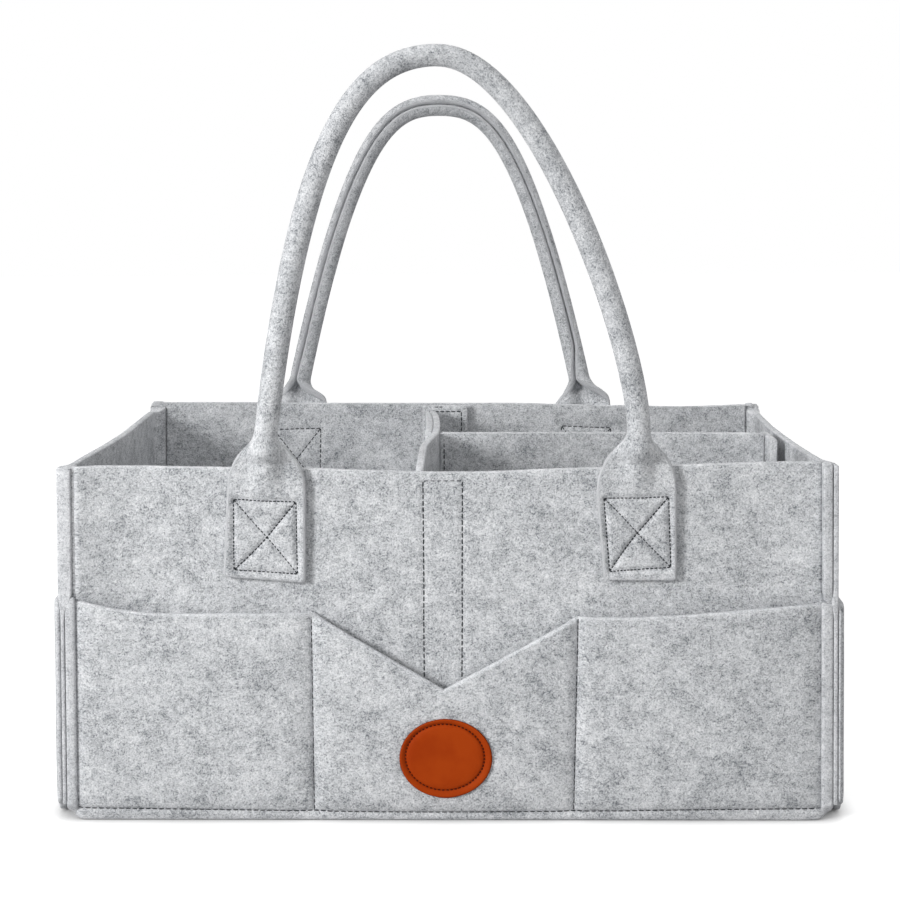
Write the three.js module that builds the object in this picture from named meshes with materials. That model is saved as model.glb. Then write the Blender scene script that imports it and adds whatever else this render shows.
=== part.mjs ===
// Felt storage caddy: an open box of thick felt with pockets all round, two tube handles that
// fold at the rim, a lift-out felt divider and a bare oval leather patch on the front.
// Millimetres, +Z up, front towards -Y, origin on the floor under the middle of the bag.
import * as THREE from 'three';

// Felt and how it is sewn
const felt = 4;
const seamFelt = 2.8;
const sewnGap = 0.25;

// The box of the bag: outer faces, and how far the corner seams stand out of them
const bagHeight = 180;
const bagDepth = 250;
const rimLength = 380;
const baseLength = 388;
const seamReach = 7;
const cornerBend = 3;
const cornerLift = 3;
const frontRimSag = 4;
const backRimSag = 0.8;
const endRimSag = 2;
const leftWallBow = 3;
const rightWallBow = 5.5;

// Outer pockets
const pocketHeight = 105;
const pocketCornerRise = 7;
const pocketCornerRun = 45;
const endPocketHeight = 112;
const pocketRoom = 5;
const pocketSeamRun = 12;
const pocketFootHeight = 14;
const frontPocketSeams = [-65, 62];
const backPocketSeams = [-63.5, 63.5];
const notchTip = { x: -1.6, z: 68.6 };

// Leather patch on the middle front pocket
const patchLength = 45.5;
const patchHeight = 40.5;
const patchThickness = 1.2;
const patchCentre = { x: -0.8, z: 33.7 };

// Handle tabs, sewn flat on the wall, and the shoulders that roll up into the tube
const tabWidth = 39.5;
const tabAbovePocket = 17;
const tabBelowRim = 1;
const shoulderLength = 24;
const shoulderPower = 1.7;
const tubeDiameter = 10.5;
const tubeGap = 0.3;

// The fold line of each handle, in front of the wall and just above the rim
const foldAboveRim = 4;
const neckAboveFold = 7;
const foldRadius = 7.2;
const foldClearance = 0.3;
const foldEdge = 0.4;

// The two loops: where the crown is and how far above the neck, and for each leg where it stands,
// how far it leans inwards on the way up, at what share of the rise, and how far the crown's round
// reaches to its side
const frontLeftLeg = -88;
const frontRightLeg = 93;
const backLeftLeg = -98;
const backRightLeg = 79.5;
const frontLoop = {
  crownX: -2.8,
  rise: 184.4,
  legs: [
    { x: frontLeftLeg, lean: 20.8, leanAt: 0.87, reach: 33.4 },
    { x: frontRightLeg, lean: -5.3, leanAt: 0.16, reach: 50 },
  ],
};
const backLoop = {
  crownX: -9.6,
  rise: 173.6,
  legs: [
    { x: backLeftLeg, lean: 36.8, leanAt: 0.95, reach: 26.6 },
    { x: backRightLeg, lean: 37.5, leanAt: 0.97, reach: 28.1 },
  ],
};

// Lift-out divider: the cross divider is drawn to the right where the long divider is sewn to it,
// and behind that joint a leaf stands to its left
const insertBelowRim = 3;
const jointX = -8.2;
const dividerFrontX = -13.4;
const frontSwingRun = 70;
const dividerBackX = -12.4;
const leafOpening = 1.7;
const leafOpeningStart = -12;
const flapLeft = -19.5;
const flapWidth = 28;
const endFlapWidth = 38;
const endFlapShift = -1.5;
const endFlapGap = 3;
const tapeWidth = 20;
const tapeThickness = 1.2;
const tapeLeft = -12;
const tapeBelowRim = 9;
const tapeAboveFloor = 16;

// Colours and finish
const feltColour = 0xc3c6ca;
const tapeColour = 0x8f9499;
const leatherColour = 0xa63e0c;
const feltRoughness = 0.95;
const leatherRoughness = 0.45;

// Values worked out from the driving sizes
const wallFace = bagDepth / 2;
const seamTip = wallFace + seamReach;
const wallInside = wallFace - felt;
const tubeRadius = tubeDiameter / 2;
const tubeCentre = tubeGap + tubeRadius;
const foldHeight = bagHeight + foldAboveRim;
const foldDistance = tubeGap + foldRadius;
const tabHollowRadius = foldRadius + foldClearance;
const loopEnd = foldHeight - foldRadius + foldEdge;
const neckHeight = foldHeight + neckAboveFold;
const shoulderStart = neckHeight - shoulderLength;
const tabBottom = pocketHeight + tabAbovePocket;
const tabTop = bagHeight - tabBelowRim;
const insertBottom = felt + sewnGap;
const insertTop = bagHeight - insertBelowRim;
const tapeTop = bagHeight - tapeBelowRim;
const tapeBottom = felt + tapeAboveFloor;

function makeMaterial(colour, roughness) {
  return new THREE.MeshStandardMaterial({ color: colour, roughness, metalness: 0 });
}

function makeMesh(name, geometry, colour = feltColour, roughness = feltRoughness) {
  const mesh = new THREE.Mesh(geometry, makeMaterial(colour, roughness));
  mesh.name = name;
  return mesh;
}

// A closed surface from points and triangles, turned so that its faces point out
function closedSurface(points, triangles) {
  let volume = 0;
  for (const [a, b, c] of triangles) {
    volume += points[a].dot(new THREE.Vector3().crossVectors(points[b], points[c]));
  }
  const order = volume > 0 ? triangles : triangles.map(([a, b, c]) => [a, c, b]);
  const geometry = new THREE.BufferGeometry().setFromPoints(points);
  geometry.setIndex(order.flat());
  geometry.computeVertexNormals();
  return geometry;
}

// A sheet of felt from a grid of points on its middle surface: half the thickness to each side
function feltSheet(grid, thicknessAt = () => felt) {
  const columns = grid.length;
  const rows = grid[0].length;
  const points = [];
  for (const side of [1, -1]) {
    for (let i = 0; i < columns; i += 1) {
      for (let j = 0; j < rows; j += 1) {
        const along = grid[Math.min(i + 1, columns - 1)][j].clone().sub(grid[Math.max(i - 1, 0)][j]);
        const up = grid[i][Math.min(j + 1, rows - 1)].clone().sub(grid[i][Math.max(j - 1, 0)]);
        const normal = along.cross(up).normalize();
        points.push(grid[i][j].clone().addScaledVector(normal, (side * thicknessAt(i, j)) / 2));
      }
    }
  }
  const at = (layer, i, j) => layer * columns * rows + i * rows + j;
  const triangles = [];
  const quad = (a, b, c, d) => triangles.push([a, b, c], [a, c, d]);
  for (let i = 0; i < columns - 1; i += 1) {
    for (let j = 0; j < rows - 1; j += 1) {
      quad(at(0, i, j), at(0, i + 1, j), at(0, i + 1, j + 1), at(0, i, j + 1));
      quad(at(1, i, j), at(1, i, j + 1), at(1, i + 1, j + 1), at(1, i + 1, j));
    }
  }
  for (let i = 0; i < columns - 1; i += 1) {
    quad(at(0, i, 0), at(1, i, 0), at(1, i + 1, 0), at(0, i + 1, 0));
    quad(at(0, i, rows - 1), at(0, i + 1, rows - 1), at(1, i + 1, rows - 1), at(1, i, rows - 1));
  }
  for (let j = 0; j < rows - 1; j += 1) {
    quad(at(0, 0, j), at(0, 0, j + 1), at(1, 0, j + 1), at(1, 0, j));
    const end = columns - 1;
    quad(at(0, end, j), at(1, end, j), at(1, end, j + 1), at(0, end, j + 1));
  }
  return closedSurface(points, triangles);
}

// A closed body through rings of points that all have the same count
function loft(rings) {
  const count = rings[0].length;
  const points = rings.flat();
  const triangles = [];
  for (let k = 0; k < rings.length - 1; k += 1) {
    for (let i = 0; i < count; i += 1) {
      const next = (i + 1) % count;
      const [a, b] = [k * count + i, k * count + next];
      const [c, d] = [a + count, b + count];
      triangles.push([a, b, d], [a, d, c]);
    }
  }
  const last = (rings.length - 1) * count;
  for (let i = 1; i < count - 1; i += 1) {
    triangles.push([0, i + 1, i], [last, last + i, last + i + 1]);
  }
  return closedSurface(points, triangles);
}

function smoothStep(value) {
  const t = THREE.MathUtils.clamp(value, 0, 1);
  return t * t * (3 - 2 * t);
}

// Half the outer length of the bag at a height: the box is a little wider at its base
function halfLength(z) {
  return THREE.MathUtils.lerp(baseLength, rimLength, z / bagHeight) / 2;
}

// Heights of the rim along the long walls and along the end walls
function rimHeight(x, sag) {
  const across = Math.min(Math.abs(x) / (rimLength / 2), 1);
  return bagHeight - sag * (1 - across * across);
}

function endRimHeight(y) {
  const across = Math.min(Math.abs(y) / wallInside, 1);
  return bagHeight - endRimSag * (1 - across ** 4);
}

// Columns of a long felt strip that runs along a wall and turns outwards at both corner seams.
// Each column gives its x at a height and its distance out from the middle of the bag.
function wrappedColumns(inset, face, bend, fieldX) {
  const half = [
    { inset, out: seamTip, lift: cornerLift },
    { inset, out: (seamTip + face + bend) / 2, lift: cornerLift / 3 },
  ];
  for (const degrees of [0, 30, 60, 90]) {
    const angle = THREE.MathUtils.degToRad(degrees);
    half.push({
      inset: inset + bend * (1 - Math.cos(angle)),
      out: face + bend * (1 - Math.sin(angle)),
      lift: 0,
    });
  }
  const corner = (side) => half.map((place) => {
    return { ...place, seam: true, xAt: (z) => side * (halfLength(z) - place.inset) };
  });
  const field = fieldX.map((x) => ({ out: face, lift: 0, seam: false, xAt: () => x }));
  return [...corner(-1), ...field, ...corner(1).reverse()];
}

// Thickness of a wrapped strip: squeezed where it lies in the corner seam
function wrappedThickness(columns, face) {
  return (i) => THREE.MathUtils.lerp(felt, seamFelt, smoothStep((columns[i].out - face) / cornerBend));
}

function evenSteps(from, to, count) {
  return Array.from({ length: count + 1 }, (_, i) => from + ((to - from) * i) / count);
}

// Long walls: the front panel and the back panel
const wallInset = seamFelt + sewnGap + seamFelt / 2;

function longWall(name, side, sag) {
  const face = wallFace - felt / 2;
  const fieldEnd = rimLength / 2 - wallInset - cornerBend;
  const fieldX = evenSteps(-fieldEnd, fieldEnd, 8).slice(1, -1);
  const columns = wrappedColumns(wallInset, face, cornerBend, fieldX);
  const rows = evenSteps(0, 1, 6);
  const grid = columns.map((column) => rows.map((v) => {
    const top = rimHeight(column.xAt(bagHeight), sag);
    const z = THREE.MathUtils.lerp(column.lift, top, v);
    return new THREE.Vector3(column.xAt(z), side * column.out, z);
  }));
  return makeMesh(name, feltSheet(grid, wrappedThickness(columns, face)));
}

// End walls: their edges run straight on into the corner seams, squeezed there
function wallBow(y, z, bow) {
  const across = Math.min(Math.abs(y) / wallInside, 1);
  return bow * (1 - across ** 2) ** 2 * (z / bagHeight) ** 2;
}

function endWall(name, side, bow) {
  const squeezed = [seamTip, (seamTip + wallInside) / 2, wallInside];
  const field = [1, 0.8, 0.5, 0.2].map((share) => share * (wallInside - felt));
  const half = [...squeezed, ...field];
  const lines = [...half.map((y) => -y), ...half.reverse()];
  const thickness = (i) => (Math.abs(lines[i]) >= wallInside ? seamFelt : felt);
  const rows = evenSteps(0, 1, 7);
  const grid = lines.map((y, i) => rows.map((v) => {
    const bottom = Math.abs(y) >= seamTip ? cornerLift : 0;
    const z = THREE.MathUtils.lerp(bottom, endRimHeight(y), v);
    const x = halfLength(z) - thickness(i) / 2 - wallBow(y, z, bow);
    return new THREE.Vector3(side * x, y, z);
  }));
  return makeMesh(name, feltSheet(grid, thickness));
}

// Bottom panel: lies between the walls
function bottomPanel() {
  const length = baseLength - 2 * (felt + sewnGap);
  const depth = 2 * (wallInside - sewnGap);
  const geometry = new THREE.BoxGeometry(length, depth, felt, 1, 1, 1);
  geometry.translate(0, 0, felt / 2);
  return makeMesh('bottom_panel', geometry);
}

// How far a pocket stands off its wall, from the distance to its nearest seam and its height
function pocketStandOff(seamDistance, z) {
  return pocketRoom * smoothStep(seamDistance / pocketSeamRun) * smoothStep(z / pocketFootHeight);
}

// Pocket strips on the long walls: one strip each, sewn down at two upright seams
const pocketFace = wallFace + sewnGap + felt / 2;
const pocketInset = wallInset + seamFelt + sewnGap;

function pocketTop(x, seams, notch) {
  const fromCorner = rimLength / 2 - Math.abs(x);
  const rise = Math.max(0, 1 - fromCorner / pocketCornerRun);
  let top = pocketHeight + pocketCornerRise * rise * rise;
  if (notch && x > seams[0] && x < seams[1]) {
    const edge = x < notch.x ? seams[0] : seams[1];
    top = THREE.MathUtils.lerp(notch.z, pocketHeight, (x - notch.x) / (edge - notch.x));
  }
  return top;
}

function longPocket(name, side, seams, notch) {
  const fieldEnd = rimLength / 2 - pocketInset - cornerBend;
  const edges = [-fieldEnd, ...seams, fieldEnd];
  const fieldX = [];
  for (let k = 0; k < edges.length - 1; k += 1) {
    const [from, to] = [edges[k], edges[k + 1]];
    if (k > 0) fieldX.push(from);
    fieldX.push(from + pocketSeamRun / 2, from + pocketSeamRun);
    const notched = notch && k === 1;
    fieldX.push(...(notched ? [(from + notch.x) / 2, notch.x, (to + notch.x) / 2] : [(from + to) / 2]));
    fieldX.push(to - pocketSeamRun, to - pocketSeamRun / 2);
  }
  const columns = wrappedColumns(pocketInset, pocketFace, cornerBend, fieldX);
  const feet = [0, pocketFootHeight / 2, pocketFootHeight];
  const rows = [0.25, 0.5, 0.75, 1];
  const grid = columns.map((column) => {
    const x = column.xAt(pocketHeight);
    const seamDistance = column.seam ? 0 : Math.min(...edges.map((edge) => Math.abs(x - edge)));
    const top = pocketTop(x, seams, notch);
    const heights = [...feet, ...rows.map((v) => THREE.MathUtils.lerp(pocketFootHeight, top, v))];
    return heights.map((height) => {
      const z = Math.max(height, column.lift);
      return new THREE.Vector3(column.xAt(z), side * (column.out + pocketStandOff(seamDistance, z)), z);
    });
  });
  return makeMesh(name, feltSheet(grid, wrappedThickness(columns, pocketFace)));
}

// End pockets: laid on the end walls, their edges squeezed onto the outside of the corner seams
function endPocket(name, side) {
  const seamLine = wallFace;
  const steps = [0.35, 0.7, 1, 2].map((share) => seamLine - share * pocketSeamRun);
  const half = [seamTip - sewnGap, seamLine, ...steps, seamLine / 3];
  const lines = [...half.map((y) => -y), ...half.slice().reverse()];
  const thickness = (i) => (Math.abs(lines[i]) >= seamLine ? seamFelt : felt);
  const feet = [0, pocketFootHeight / 2, pocketFootHeight];
  const rows = [0.34, 0.67, 1];
  const grid = lines.map((y, i) => {
    const upper = rows.map((v) => THREE.MathUtils.lerp(pocketFootHeight, endPocketHeight, v));
    return [...feet, ...upper].map((height) => {
      const z = Math.abs(y) > seamLine ? Math.max(height, cornerLift) : height;
      const offWall = pocketStandOff(seamLine - Math.abs(y), z);
      return new THREE.Vector3(side * (halfLength(z) + sewnGap + thickness(i) / 2 + offWall), y, z);
    });
  });
  return makeMesh(name, feltSheet(grid, thickness));
}

// Leather patch: a flat oval on the face of the middle pocket
function leatherPatch() {
  const outline = new THREE.Shape();
  outline.absellipse(0, 0, patchLength / 2, patchHeight / 2, 0, 2 * Math.PI, false, 0);
  const cut = { depth: patchThickness, bevelEnabled: false, curveSegments: 20 };
  const geometry = new THREE.ExtrudeGeometry(outline, cut);
  geometry.rotateX(Math.PI / 2);
  const pocketOutside = pocketFace + pocketRoom + felt / 2;
  geometry.translate(patchCentre.x, -(pocketOutside + sewnGap), patchCentre.z);
  return makeMesh('leather_patch', geometry, leatherColour, leatherRoughness);
}

// Handle ends. Distances out from the wall: a tab's back lies on the wall, and its front swells
// forward from flat felt at the shoulder to the full tube at the neck.
function shoulderHalfWidth(z) {
  const t = THREE.MathUtils.clamp((z - shoulderStart) / (neckHeight - shoulderStart), 0, 1);
  return THREE.MathUtils.lerp(tabWidth / 2, tubeRadius, t ** shoulderPower);
}

function shoulderFront(z) {
  const t = THREE.MathUtils.clamp((z - shoulderStart) / (neckHeight - shoulderStart), 0, 1);
  return THREE.MathUtils.lerp(sewnGap + felt, tubeCentre + tubeRadius, t);
}

// Distance from the wall to the round fold surface of a radius about the fold line, at a height
function foldSurface(radius, z) {
  const drop = Math.max(foldHeight - z, 0);
  return foldDistance - Math.sqrt(Math.max(radius * radius - drop * drop, 0));
}

// A ring of points across a handle: flat felt has square shoulders, the tube is round
const ringPoints = 14;

function handleRing(centre, sideways, outwards, halfWidth, halfDepth, roundness) {
  const power = THREE.MathUtils.lerp(0.45, 1, roundness);
  const spread = (value) => Math.sign(value) * Math.abs(value) ** power;
  return Array.from({ length: ringPoints }, (_, i) => {
    const angle = ((i + 0.5) / ringPoints) * 2 * Math.PI;
    return centre.clone()
      .addScaledVector(sideways, halfWidth * spread(Math.cos(angle)))
      .addScaledVector(outwards, halfDepth * spread(Math.sin(angle)));
  });
}

function levelRing(x, side, z, back, front, roundness) {
  const centre = new THREE.Vector3(x, side * (wallFace + (back + front) / 2), z);
  const sideways = new THREE.Vector3(1, 0, 0);
  const outwards = new THREE.Vector3(0, side, 0);
  return handleRing(centre, sideways, outwards, shoulderHalfWidth(z), (front - back) / 2, roundness);
}

// Tab: flat felt up to the shoulder, then hollowed at its top to clear the fold of the loop
function handleTab(name, side, x) {
  const hollowStart = foldHeight - tabHollowRadius;
  const heights = [
    tabBottom,
    ...evenSteps(shoulderStart, hollowStart, 3),
    ...evenSteps(hollowStart, tabTop, 4).slice(1),
  ];
  const rings = heights.map((z) => {
    const hollow = z > hollowStart ? foldSurface(tabHollowRadius, z) : Infinity;
    return levelRing(x, side, z, sewnGap, Math.min(shoulderFront(z), hollow), 0);
  });
  return makeMesh(name, loft(rings));
}

// Loop: a round fold end, the swelling neck, and the tube over the crown
function loopCurve(loop, side, leg) {
  const y = side * (wallFace + tubeCentre);
  const { x, lean, leanAt, reach } = loop.legs[leg];
  const inward = leg === 0 ? 1 : -1;
  const crownZ = neckHeight + loop.rise;
  return new THREE.CubicBezierCurve3(
    new THREE.Vector3(x, y, neckHeight),
    new THREE.Vector3(x + inward * lean, y, neckHeight + leanAt * loop.rise),
    new THREE.Vector3(loop.crownX - inward * reach, y, crownZ),
    new THREE.Vector3(loop.crownX, y, crownZ),
  );
}

function handleLoop(name, side, loop) {
  const outwards = new THREE.Vector3(0, side, 0);
  const upperNeck = evenSteps(foldHeight, neckHeight, 3).slice(1, -1);
  const neck = [...evenSteps(loopEnd, foldHeight, 4), ...upperNeck];
  const end = (leg) => neck.map((z) => {
    const roundness = (z - loopEnd) / (neckHeight - loopEnd);
    return levelRing(loop.legs[leg].x, side, z, foldSurface(foldRadius, z), shoulderFront(z), roundness);
  });
  const tube = (leg) => {
    const curve = loopCurve(loop, side, leg);
    return evenSteps(0, 1, 16).map((t) => {
      const tangent = curve.getTangentAt(t);
      const sideways = new THREE.Vector3(tangent.z, 0, -tangent.x);
      return handleRing(curve.getPointAt(t), sideways, outwards, tubeRadius, tubeRadius, 1);
    });
  };
  const left = [...end(0), ...tube(0)];
  const right = [...end(1), ...tube(1).slice(0, -1)];
  const mirrored = right.reverse().map((ring) => turnRing(ring));
  return makeMesh(name, loft([...left, ...mirrored]));
}

// The right leg is drawn from its foot up, so its rings are read the other way round
function turnRing(ring) {
  const half = ringPoints / 2;
  return ring.map((_, i) => ring[(2 * half + half - 1 - i) % ringPoints]);
}

// Straight pieces of felt and tape that stand on the floor of the bag or on a wall
function slab(name, from, to, colour = feltColour) {
  const size = new THREE.Vector3().subVectors(to, from);
  const geometry = new THREE.BoxGeometry(size.x, size.y, size.z);
  geometry.translate((from.x + to.x) / 2, (from.y + to.y) / 2, (from.z + to.z) / 2);
  return makeMesh(name, geometry, colour);
}

// Lift-out divider: layers between a long wall and the end of the cross divider
const wallTapeFace = wallInside - tapeThickness;
const flapTapeFace = wallTapeFace - sewnGap - tapeThickness;
const flapOutside = flapTapeFace - sewnGap;
const crossEnd = flapOutside - felt - sewnGap;

// Middle of the cross divider at a depth
function crossX(y) {
  if (y < 0) return jointX + (dividerFrontX - jointX) * smoothStep(-y / frontSwingRun);
  return jointX + (dividerBackX - jointX) * (y / crossEnd) ** 2;
}

function leafX(y) {
  const share = (y - leafOpeningStart) / (crossEnd - leafOpeningStart);
  return crossX(y) - felt - sewnGap - leafOpening * Math.sin(Math.PI * share);
}

function uprightSheet(name, middleX, from, to, count) {
  const rows = [insertBottom, (insertBottom + insertTop) / 2, insertTop];
  const grid = evenSteps(from, to, count).map((y) => rows.map((z) => new THREE.Vector3(middleX(y), y, z)));
  return makeMesh(name, feltSheet(grid));
}

const endFlapFace = Math.min(rimLength, baseLength) / 2 - felt - rightWallBow - endFlapGap;
const longDividerEnd = endFlapFace - felt - sewnGap;
const longDividerStart = jointX + felt / 2 + sewnGap;

function insertPieces() {
  const half = felt / 2;
  const point = (x, y, z) => new THREE.Vector3(x, y, z);
  const pieces = [
    uprightSheet('cross_divider', crossX, -crossEnd, crossEnd, 16),
    uprightSheet('rear_divider_leaf', leafX, half + sewnGap, crossEnd, 10),
    slab(
      'long_divider',
      point(longDividerStart, -half, insertBottom),
      point(longDividerEnd, half, insertTop),
    ),
    slab(
      'right_divider_flap',
      point(endFlapFace - felt, endFlapShift - endFlapWidth / 2, insertBottom),
      point(endFlapFace, endFlapShift + endFlapWidth / 2, insertTop),
    ),
  ];
  for (const [name, side] of [['front', -1], ['back', 1]]) {
    const ordered = (a, b) => [Math.min(side * a, side * b), Math.max(side * a, side * b)];
    const [flapFrom, flapTo] = ordered(flapOutside - felt, flapOutside);
    const [tapeFrom, tapeTo] = ordered(flapTapeFace, flapTapeFace + tapeThickness);
    pieces.push(
      slab(
        `${name}_divider_flap`,
        point(flapLeft, flapFrom, insertBottom),
        point(flapLeft + flapWidth, flapTo, insertTop),
      ),
      slab(
        `${name}_hook_tape`,
        point(tapeLeft, tapeFrom, tapeBottom),
        point(tapeLeft + tapeWidth, tapeTo, tapeTop),
        tapeColour,
      ),
    );
  }
  return pieces;
}

// Loop tape sewn on the inside of the long walls, where the divider is pressed on
function wallTape(name, side) {
  const [from, to] = [side * wallInside, side * (wallInside - tapeThickness)].sort((a, b) => a - b);
  return slab(
    name,
    new THREE.Vector3(tapeLeft, from, tapeBottom),
    new THREE.Vector3(tapeLeft + tapeWidth, to, tapeTop),
    tapeColour,
  );
}

const caddy = new THREE.Group();
caddy.add(
  bottomPanel(),
  longWall('front_panel', -1, frontRimSag),
  longWall('back_panel', 1, backRimSag),
  endWall('left_end_panel', -1, leftWallBow),
  endWall('right_end_panel', 1, rightWallBow),
  longPocket('front_pocket', -1, frontPocketSeams, notchTip),
  longPocket('back_pocket', 1, backPocketSeams, null),
  endPocket('left_end_pocket', -1),
  endPocket('right_end_pocket', 1),
  wallTape('front_loop_tape', -1),
  wallTape('back_loop_tape', 1),
  leatherPatch(),
);
for (const [name, side, loop] of [['front', -1, frontLoop], ['back', 1, backLoop]]) {
  caddy.add(
    handleTab(`${name}_handle_tab_left`, side, loop.legs[0].x),
    handleTab(`${name}_handle_tab_right`, side, loop.legs[1].x),
    handleLoop(`${name}_handle_loop`, side, loop),
  );
}
caddy.add(...insertPieces());

export default caddy;
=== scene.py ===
"""Felt storage caddy: the looks of every piece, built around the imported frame.

Laid out as an add-on and run as a script. Lengths are in millimetres until a mesh is made.
"""

import math

import bpy
import numpy as np
from mathutils import Matrix, Vector


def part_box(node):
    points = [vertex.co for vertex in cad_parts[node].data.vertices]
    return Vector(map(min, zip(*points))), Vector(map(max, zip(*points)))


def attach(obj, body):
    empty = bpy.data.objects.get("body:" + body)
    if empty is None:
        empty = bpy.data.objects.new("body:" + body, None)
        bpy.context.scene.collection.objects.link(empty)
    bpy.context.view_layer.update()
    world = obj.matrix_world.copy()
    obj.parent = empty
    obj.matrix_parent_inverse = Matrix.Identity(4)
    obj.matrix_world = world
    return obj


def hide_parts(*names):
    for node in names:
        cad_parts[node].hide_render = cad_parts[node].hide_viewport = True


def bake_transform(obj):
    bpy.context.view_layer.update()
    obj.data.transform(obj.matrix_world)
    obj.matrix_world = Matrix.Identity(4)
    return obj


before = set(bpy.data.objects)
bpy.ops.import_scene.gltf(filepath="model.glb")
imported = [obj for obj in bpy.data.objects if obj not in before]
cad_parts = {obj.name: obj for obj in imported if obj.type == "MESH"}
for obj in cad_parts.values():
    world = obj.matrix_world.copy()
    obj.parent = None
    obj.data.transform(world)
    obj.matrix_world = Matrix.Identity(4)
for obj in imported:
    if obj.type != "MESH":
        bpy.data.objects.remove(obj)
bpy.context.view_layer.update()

bl_info = {
    "name": "Felt storage caddy",
    "version": (1, 0, 0),
    "blender": (4, 5, 0),
    "location": "3D view, sidebar, Caddy tab",
    "description": "Builds a felt caddy with pockets, folding handles, a divider and a leather patch",
    "category": "Object",
}

MM = 0.001

# The two skins of a sheet of felt: the one that shows when the sheet lies face up, and its back
OUTER = 1
INNER = -1


def node_box(node):
    """Lowest and highest corner of a solid of the frame, in mm."""
    low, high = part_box(node)
    return np.array(low) / MM, np.array(high) / MM


def reach_above(node, axis, height):
    """How far a solid of the frame reaches along an axis in the part of it above a height, in mm."""
    points = np.array([vertex.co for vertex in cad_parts[node].data.vertices]) / MM
    return float(points[points[:, 2] > height][:, axis].max())


# Sizes taken from the frame
FELT = float(node_box("bottom_panel")[1][2])
WALL_FACE = -float(node_box("front_panel")[1][1]) + FELT
SEAM_TIP = float(node_box("left_end_panel")[1][1])
BAG_HEIGHT = float(node_box("left_end_panel")[1][2])
HALF_BASE = float(node_box("right_end_panel")[1][0])
HALF_RIM = reach_above("right_end_panel", 0, BAG_HEIGHT - 1)
POCKET_TOP = float(node_box("back_pocket")[1][2])
INSERT_BOTTOM = float(node_box("long_divider")[0][2])
INSERT_TOP = float(node_box("long_divider")[1][2])


def length_property(name, description, default):
    """A length with its default in mm."""
    return bpy.props.FloatProperty(name=name, description=description, default=default * MM, unit="LENGTH")


def angle_property(name, description, default):
    """An angle with its default in degrees."""
    return bpy.props.FloatProperty(
        name=name, description=description, default=math.radians(default), subtype="ANGLE"
    )


def place_property(name, description, default):
    """A place with its default in metres."""
    return bpy.props.FloatVectorProperty(
        name=name, description=description, default=default, subtype="TRANSLATION"
    )


def level_property(name, description, default):
    return bpy.props.FloatProperty(name=name, description=description, default=default, min=0.0)


def colour_property(name, default):
    return bpy.props.StringProperty(name=name, description="Colour as sRGB hex", default=default)


class CaddyFelt(bpy.types.PropertyGroup):
    """Felt sheet and how it is cut."""

    edge_round: length_property("Edge rounding", "Radius on a cut edge", 0.8)
    seam_round: length_property("Seam rounding", "Radius on a puffy edge beside a seam", 1.3)
    fibre_width: length_property("Fibre width", "Width of a drawn fibre", 0.55)
    fibre_length: length_property("Fibre length", "Length of a drawn fibre", 2.2)
    light: colour_property("Light wool", "EFF0F2")
    middle: colour_property("Grey wool", "C6C8CB")
    dark: colour_property("Dark fibres", "75797E")
    # Colour of cut edges: the cut fibres' own paleness, and partly a painted highlight for the light that
    # edges catch
    cut: colour_property("Cut edge", "E6E7EA")


class CaddyStitch(bpy.types.PropertyGroup):
    """Thread and stitch."""

    length: length_property("Stitch length", "From hole to hole", 3.2)
    thread: length_property("Thread", "Diameter of the thread", 0.62)
    colour: colour_property("Thread colour", "404346")
    patch_colour: colour_property("Patch thread colour", "4A1206")


class CaddyHandle(bpy.types.PropertyGroup):
    """Rolled handles."""

    tab_width: length_property("Tab width", "Width of the flat end", 39.5)
    roll_angle: angle_property("Roll", "Half the turn of the rolled strip", 170)


class CaddyPatch(bpy.types.PropertyGroup):
    """Leather patch."""

    stitch_inset: length_property("Stitch inset", "From the edge to the stitches", 3.3)
    colour: colour_property("Leather", "A83F0B")
    cloud_colour: colour_property("Clouds in the leather", "9C3607")
    edge_colour: colour_property("Edge", "6A2507")


class CaddyStage(bpy.types.PropertyGroup):
    """Light and floor."""

    key_power: level_property("Key light", "Power in watts", 1.22)
    key_size: length_property("Key size", "Diameter of the key light", 350)
    key_place: place_property("Key place", "Where the key light hangs", (-0.85, -0.85, 0.5))
    key_spread: angle_property("Key spread", "Full angle of the key light's cone", 60)
    key_aim: place_property("Key aim", "What the key light points at", (0.02, -0.13, 0.18))
    top_power: level_property("Top light", "Power in watts", 4.0)
    top_size: length_property("Top size", "Diameter of the top light", 900)
    top_place: place_property("Top place", "Where the top light hangs", (0.0, -0.25, 1.6))
    fill: level_property("Fill", "Strength of the surroundings", 0.56)
    floor_colour: colour_property("Floor", "C4C4C4")
    floor_glow: level_property("Floor glow", "Strength of what the camera sees of the floor", 0.72)


def settings(name):
    return getattr(bpy.context.scene, name)


def linear(hex_colour):
    """A colour written as sRGB hex, as the linear RGBA that shaders take."""
    parts = [int(hex_colour[i : i + 2], 16) / 255 for i in (0, 2, 4)]
    low = [part / 12.92 if part <= 0.04045 else ((part + 0.055) / 1.055) ** 2.4 for part in parts]
    return (*low, 1.0)


def feed(tree, node, inputs):
    """Sets a node's inputs, each to a value or to the socket that feeds it."""
    for name, value in inputs.items():
        if isinstance(value, bpy.types.NodeSocket):
            tree.links.new(value, node.inputs[name])
        else:
            node.inputs[name].default_value = value


def add_node(tree, kind, inputs=None, **set_to):
    """Adds a node with its settings and inputs."""
    node = tree.nodes.new("ShaderNode" + kind)
    for name, value in set_to.items():
        setattr(node, name, value)
    feed(tree, node, inputs or {})
    return node


def new_material(name):
    """An empty node material with its shader and output."""
    material = bpy.data.materials.new(name)
    material.use_nodes = True
    tree = material.node_tree
    tree.nodes.clear()
    shader = add_node(tree, "BsdfPrincipled")
    add_node(tree, "OutputMaterial", {"Surface": shader.outputs["BSDF"]})
    return material, tree, shader


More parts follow.
